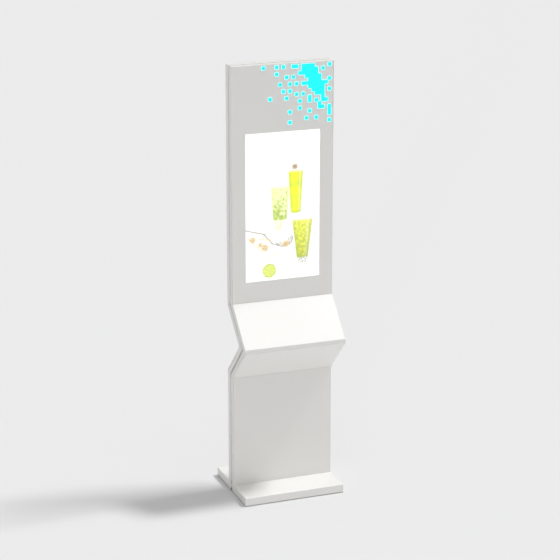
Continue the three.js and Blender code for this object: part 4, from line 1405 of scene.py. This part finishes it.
class KIOSK_OT_fasteners(bpy.types.Operator):
    """Set the screws on the rear slopes, the top plate, the display and the electrics"""

    bl_idname = "kiosk.fasteners"
    bl_label = "Fasteners"

    def execute(self, context):
        shape = template("screw", screw_shape(), smooth=30)
        back, up = (0, 1, 0), (0, 0, 1)
        diagonal = math.sqrt(0.5)
        slopes = []
        for node, rise in (("rear_slope_upper", 1), ("rear_slope_lower", -1)):
            high = box_mm(node)[1]
            corner = crease(node)
            for x in (SLOPE_SIDE - high.x, 0, high.x - SLOPE_SIDE):
                for reach in SLOPE_SCREWS:
                    point = place(x, high.y - reach, corner - rise * reach)
                    slopes.append((point, (0, diagonal, -rise * diagonal)))
        on_points("slope_screws", shape, slopes, "root", "stainless", "stainless")

        lid_top = box_mm("top_plate")[1].z
        lid = [(place(x, LID_DEPTH, lid_top), up) for x in LID_SCREWS]
        on_points("top_plate_screws", shape, lid, "root", "stainless", "stainless")

        panel_rear = box_mm("mains_panel")[1].y
        ear_rear = box_mm("power_supply")[0].y + 2
        inside = near_corners("mains_panel", 10, 12, panel_rear, back)
        inside += near_corners("power_supply", 6, 34, ear_rear, back)

        # five screws down each side of the display's housing, and four on its mounting pad
        low, high = box_mm("lcd_chassis")
        for x in (low.x + 9, high.x - 9):
            for i in range(5):
                z = low.z + 12 + (high.z - low.z - 24) * i / 4
                inside.append((place(x, low.y + 6, z), back))
        pad_x, pad_z = (high.x - low.x) / 2 - PAD_SCREW, (high.z - low.z) / 2 - PAD_SCREW
        inside += near_corners("lcd_chassis", pad_x, pad_z, high.y, back)
        inside += near_corners("pixel_led_board", 10, 10, box_mm("pixel_led_board")[1].y, back)

        for name in ("base_bracket_left", "base_bracket_right"):
            low, high = box_mm(name)
            x = (low.x + high.x) / 2 + (-4 if low.x > 0 else 4)
            for y in (low.y + 12, high.y - 12):
                inside.append((place(x, y, low.z + 3), up))
        on_points("inside_screws", shape, inside, "root", "zinc_steel", "zinc_steel")
        bpy.data.objects.remove(shape)
        return {"FINISHED"}


# ---------------------------------------------------------------- hardware


class KIOSK_OT_hardware(bpy.types.Operator):
    """Finish the rails, the hinges and the locks"""

    bl_idname = "kiosk.hardware"
    bl_label = "Rails, hinges and locks"

    def execute(self, context):
        for node in (
            "top_rail",
            "upper_rail",
            "console_rail",
            "lower_rail",
            "display_rail_right",
            "display_rail_left",
            "base_bracket_right",
            "base_bracket_left",
            "upper_lock_keeper",
            "lower_lock_keeper",
        ):
            finer(node, edge=0.3 * MM)
        for door in ("upper", "lower"):
            for end in ("top", "bottom"):
                for half in ("fixed", "leaf"):
                    finer(f"{door}_door_hinge_{end}_{half}", edge=0.25 * MM)
            finer(f"{door}_lock_body", edge=0.3 * MM)
            finer(f"{door}_lock_plug", edge=0.12 * MM)
        return {"FINISHED"}


class KIOSK_OT_fan(bpy.types.Operator):
    """Finish the exhaust fan, and fit its wire guard"""

    bl_idname = "kiosk.fan"
    bl_label = "Exhaust fan"

    def execute(self, context):
        finer("fan_frame", edge=0.4 * MM)
        finer("fan_rotor", edge=0.3 * MM)
        low, high = box_mm("fan_frame")
        middle = (low + high) / 2
        repeat(
            "fan_guard",
            "guard",
            "upper_door",
            "stainless",
            "stainless",
            Rings=6,
            First_ring=9 * MM,
            Ring_pitch=7 * MM,
            Wire=0.7 * MM,
            Reach=56 * MM,
            Middle=place(middle.x, low.y - GUARD_STANDOFF, middle.z),
        )
        shape = template("fan_screw", screw_shape(), smooth=30)
        places = [
            (place(middle.x + x, low.y, middle.z + z), (0, -1, 0))
            for x in (-FAN_SCREW, FAN_SCREW)
            for z in (-FAN_SCREW, FAN_SCREW)
        ]
        on_points("fan_screws", shape, places, "upper_door", "stainless", "stainless")
        bpy.data.objects.remove(shape)
        return {"FINISHED"}


# ---------------------------------------------------------------- electrics


class KIOSK_OT_electrics(bpy.types.Operator):
    """Finish the mains panel, its fittings, the supply, the player and the leads"""

    bl_idname = "kiosk.electrics"
    bl_label = "Electrics"

    def execute(self, context):
        edges = {
            "mains_panel": 0.4,
            "switch_bezel": 0.4,
            "power_rocker": 0.5,
            "power_supply": 0.6,
            "media_player": 0.6,
            "network_jack": 0.2,
        }
        for node, edge in edges.items():
            finer(node, edge=edge * MM)
        inlet_low, inlet_high = box_mm("mains_inlet")
        middle = (inlet_low + inlet_high) / 2
        floor = inlet_high.y - INLET_DEPTH

        def is_pin(face):
            """1 for the faces of the three pins, which stand in the inlet's socket."""
            point = (face.calc_center_median() - Vector((0, POST_FRONT, 0))) / MM
            aside, up = abs(point.x - middle.x), abs(point.z - middle.z)
            inside = aside < PIN_FIELD[0] and up < PIN_FIELD[1]
            return int(inside and point.y > floor and face.calc_area() < PIN_FACE * MM * MM)

        finer("mains_inlet", edge=0.2 * MM, choose=is_pin, more=("tinned",))
        jack_low, jack_high = box_mm("network_jack")
        jack = (jack_low + jack_high) / 2
        wire = template(
            "contact_wire", slab((-0.2 * MM, 0, -4 * MM), (0.2 * MM, 2.2 * MM, 4 * MM), 0.1 * MM)
        )
        contacts = [
            (place(jack.x + CONTACT_PITCH * (i - 3.5), jack_high.y - 6.5, jack.z + 3.8), (0, 1, 0))
            for i in range(8)
        ]
        on_points("network_contacts", wire, contacts, "root", "stainless", "contact", turn=0.0)
        bpy.data.objects.remove(wire)
        # a lead is only smoothed: none of its edges is as long as least
        for node in ("mains_lead_internal", "display_lead"):
            finer(node, edge=0.1 * MM, least=1.0, smooth=70)
        low, high = box_mm("power_supply")
        lens = template(
            "pilot_lens",
            ringed(
                [
                    circle(2.6 * MM, -0.2 * MM, 16),
                    circle(2.6 * MM, 0.6 * MM, 16),
                    circle(2.2 * MM, 1.5 * MM, 16),
                    circle(1.2 * MM, 2.1 * MM, 16),
                ]
            ),
        )
        places = [(place(high.x - 22, high.y, high.z - 12), (0, 1, 0))]
        on_points("supply_pilot", lens, places, "root", "black_plastic", "led_green")
        bpy.data.objects.remove(lens)
        block = joined(
            *[
                slab(
                    place(low.x + 20 + TERMINAL_PITCH * i, high.y, low.z + 8),
                    place(low.x + 28.5 + TERMINAL_PITCH * i, high.y + 7, low.z + 20),
                    0.5 * MM,
                )
                for i in range(6)
            ]
        )
        piece_of("supply_terminals", "root", "black_plastic", "black_plastic", block)
        return {"FINISHED"}


# ---------------------------------------------------------------- base


class KIOSK_OT_base(bpy.types.Operator):
    """Finish the base plate, its strips, its feet and its grommet"""

    bl_idname = "kiosk.base"
    bl_label = "Base"

    def execute(self, context):
        edges = {
            "base_plate": 0.5,
            "floor_strip_front": 1.0,
            "floor_strip_rear": 1.0,
            "cable_grommet": 0.5,
            **{f"leveling_foot_{number}": 0.4 for number in range(1, 5)},
        }
        for node, edge in edges.items():
            finer(node, edge=edge * MM)
        return {"FINISHED"}


class KIOSK_PT_panel(bpy.types.Panel):
    """Lists the kiosk's settings and the operators that make its pieces."""

    bl_label = "Touchscreen kiosk"
    bl_idname = "KIOSK_PT_panel"
    bl_space_type = "VIEW_3D"
    bl_region_type = "UI"
    bl_category = "Kiosk"

    def draw(self, context):
        for name, group in SETTINGS.items():
            box = self.layout.box()
            box.label(text=group.__doc__)
            for key in group.__annotations__:
                box.prop(getattr(context.scene, name), key)
        for operator in OPERATORS:
            self.layout.operator(operator.bl_idname)


OPERATORS = (
    KIOSK_OT_stage,
    KIOSK_OT_panels,
    KIOSK_OT_core,
    KIOSK_OT_screen,
    KIOSK_OT_pixel_light,
    KIOSK_OT_louvres,
    KIOSK_OT_fasteners,
    KIOSK_OT_hardware,
    KIOSK_OT_fan,
    KIOSK_OT_electrics,
    KIOSK_OT_base,
)
CLASSES = (*SETTINGS.values(), *OPERATORS, KIOSK_PT_panel)


def register():
    for cls in CLASSES:
        bpy.utils.register_class(cls)
    for name, group in SETTINGS.items():
        setattr(bpy.types.Scene, name, PointerProperty(type=group))


def unregister():
    for name in SETTINGS:
        delattr(bpy.types.Scene, name)
    for cls in reversed(CLASSES):
        bpy.utils.unregister_class(cls)


def main():
    """Makes every piece in order."""
    register()
    for operator in OPERATORS:
        getattr(bpy.ops.kiosk, operator.bl_idname.split(".")[1])()
    bpy.context.view_layer.update()


if __name__ == "__main__":
    main()
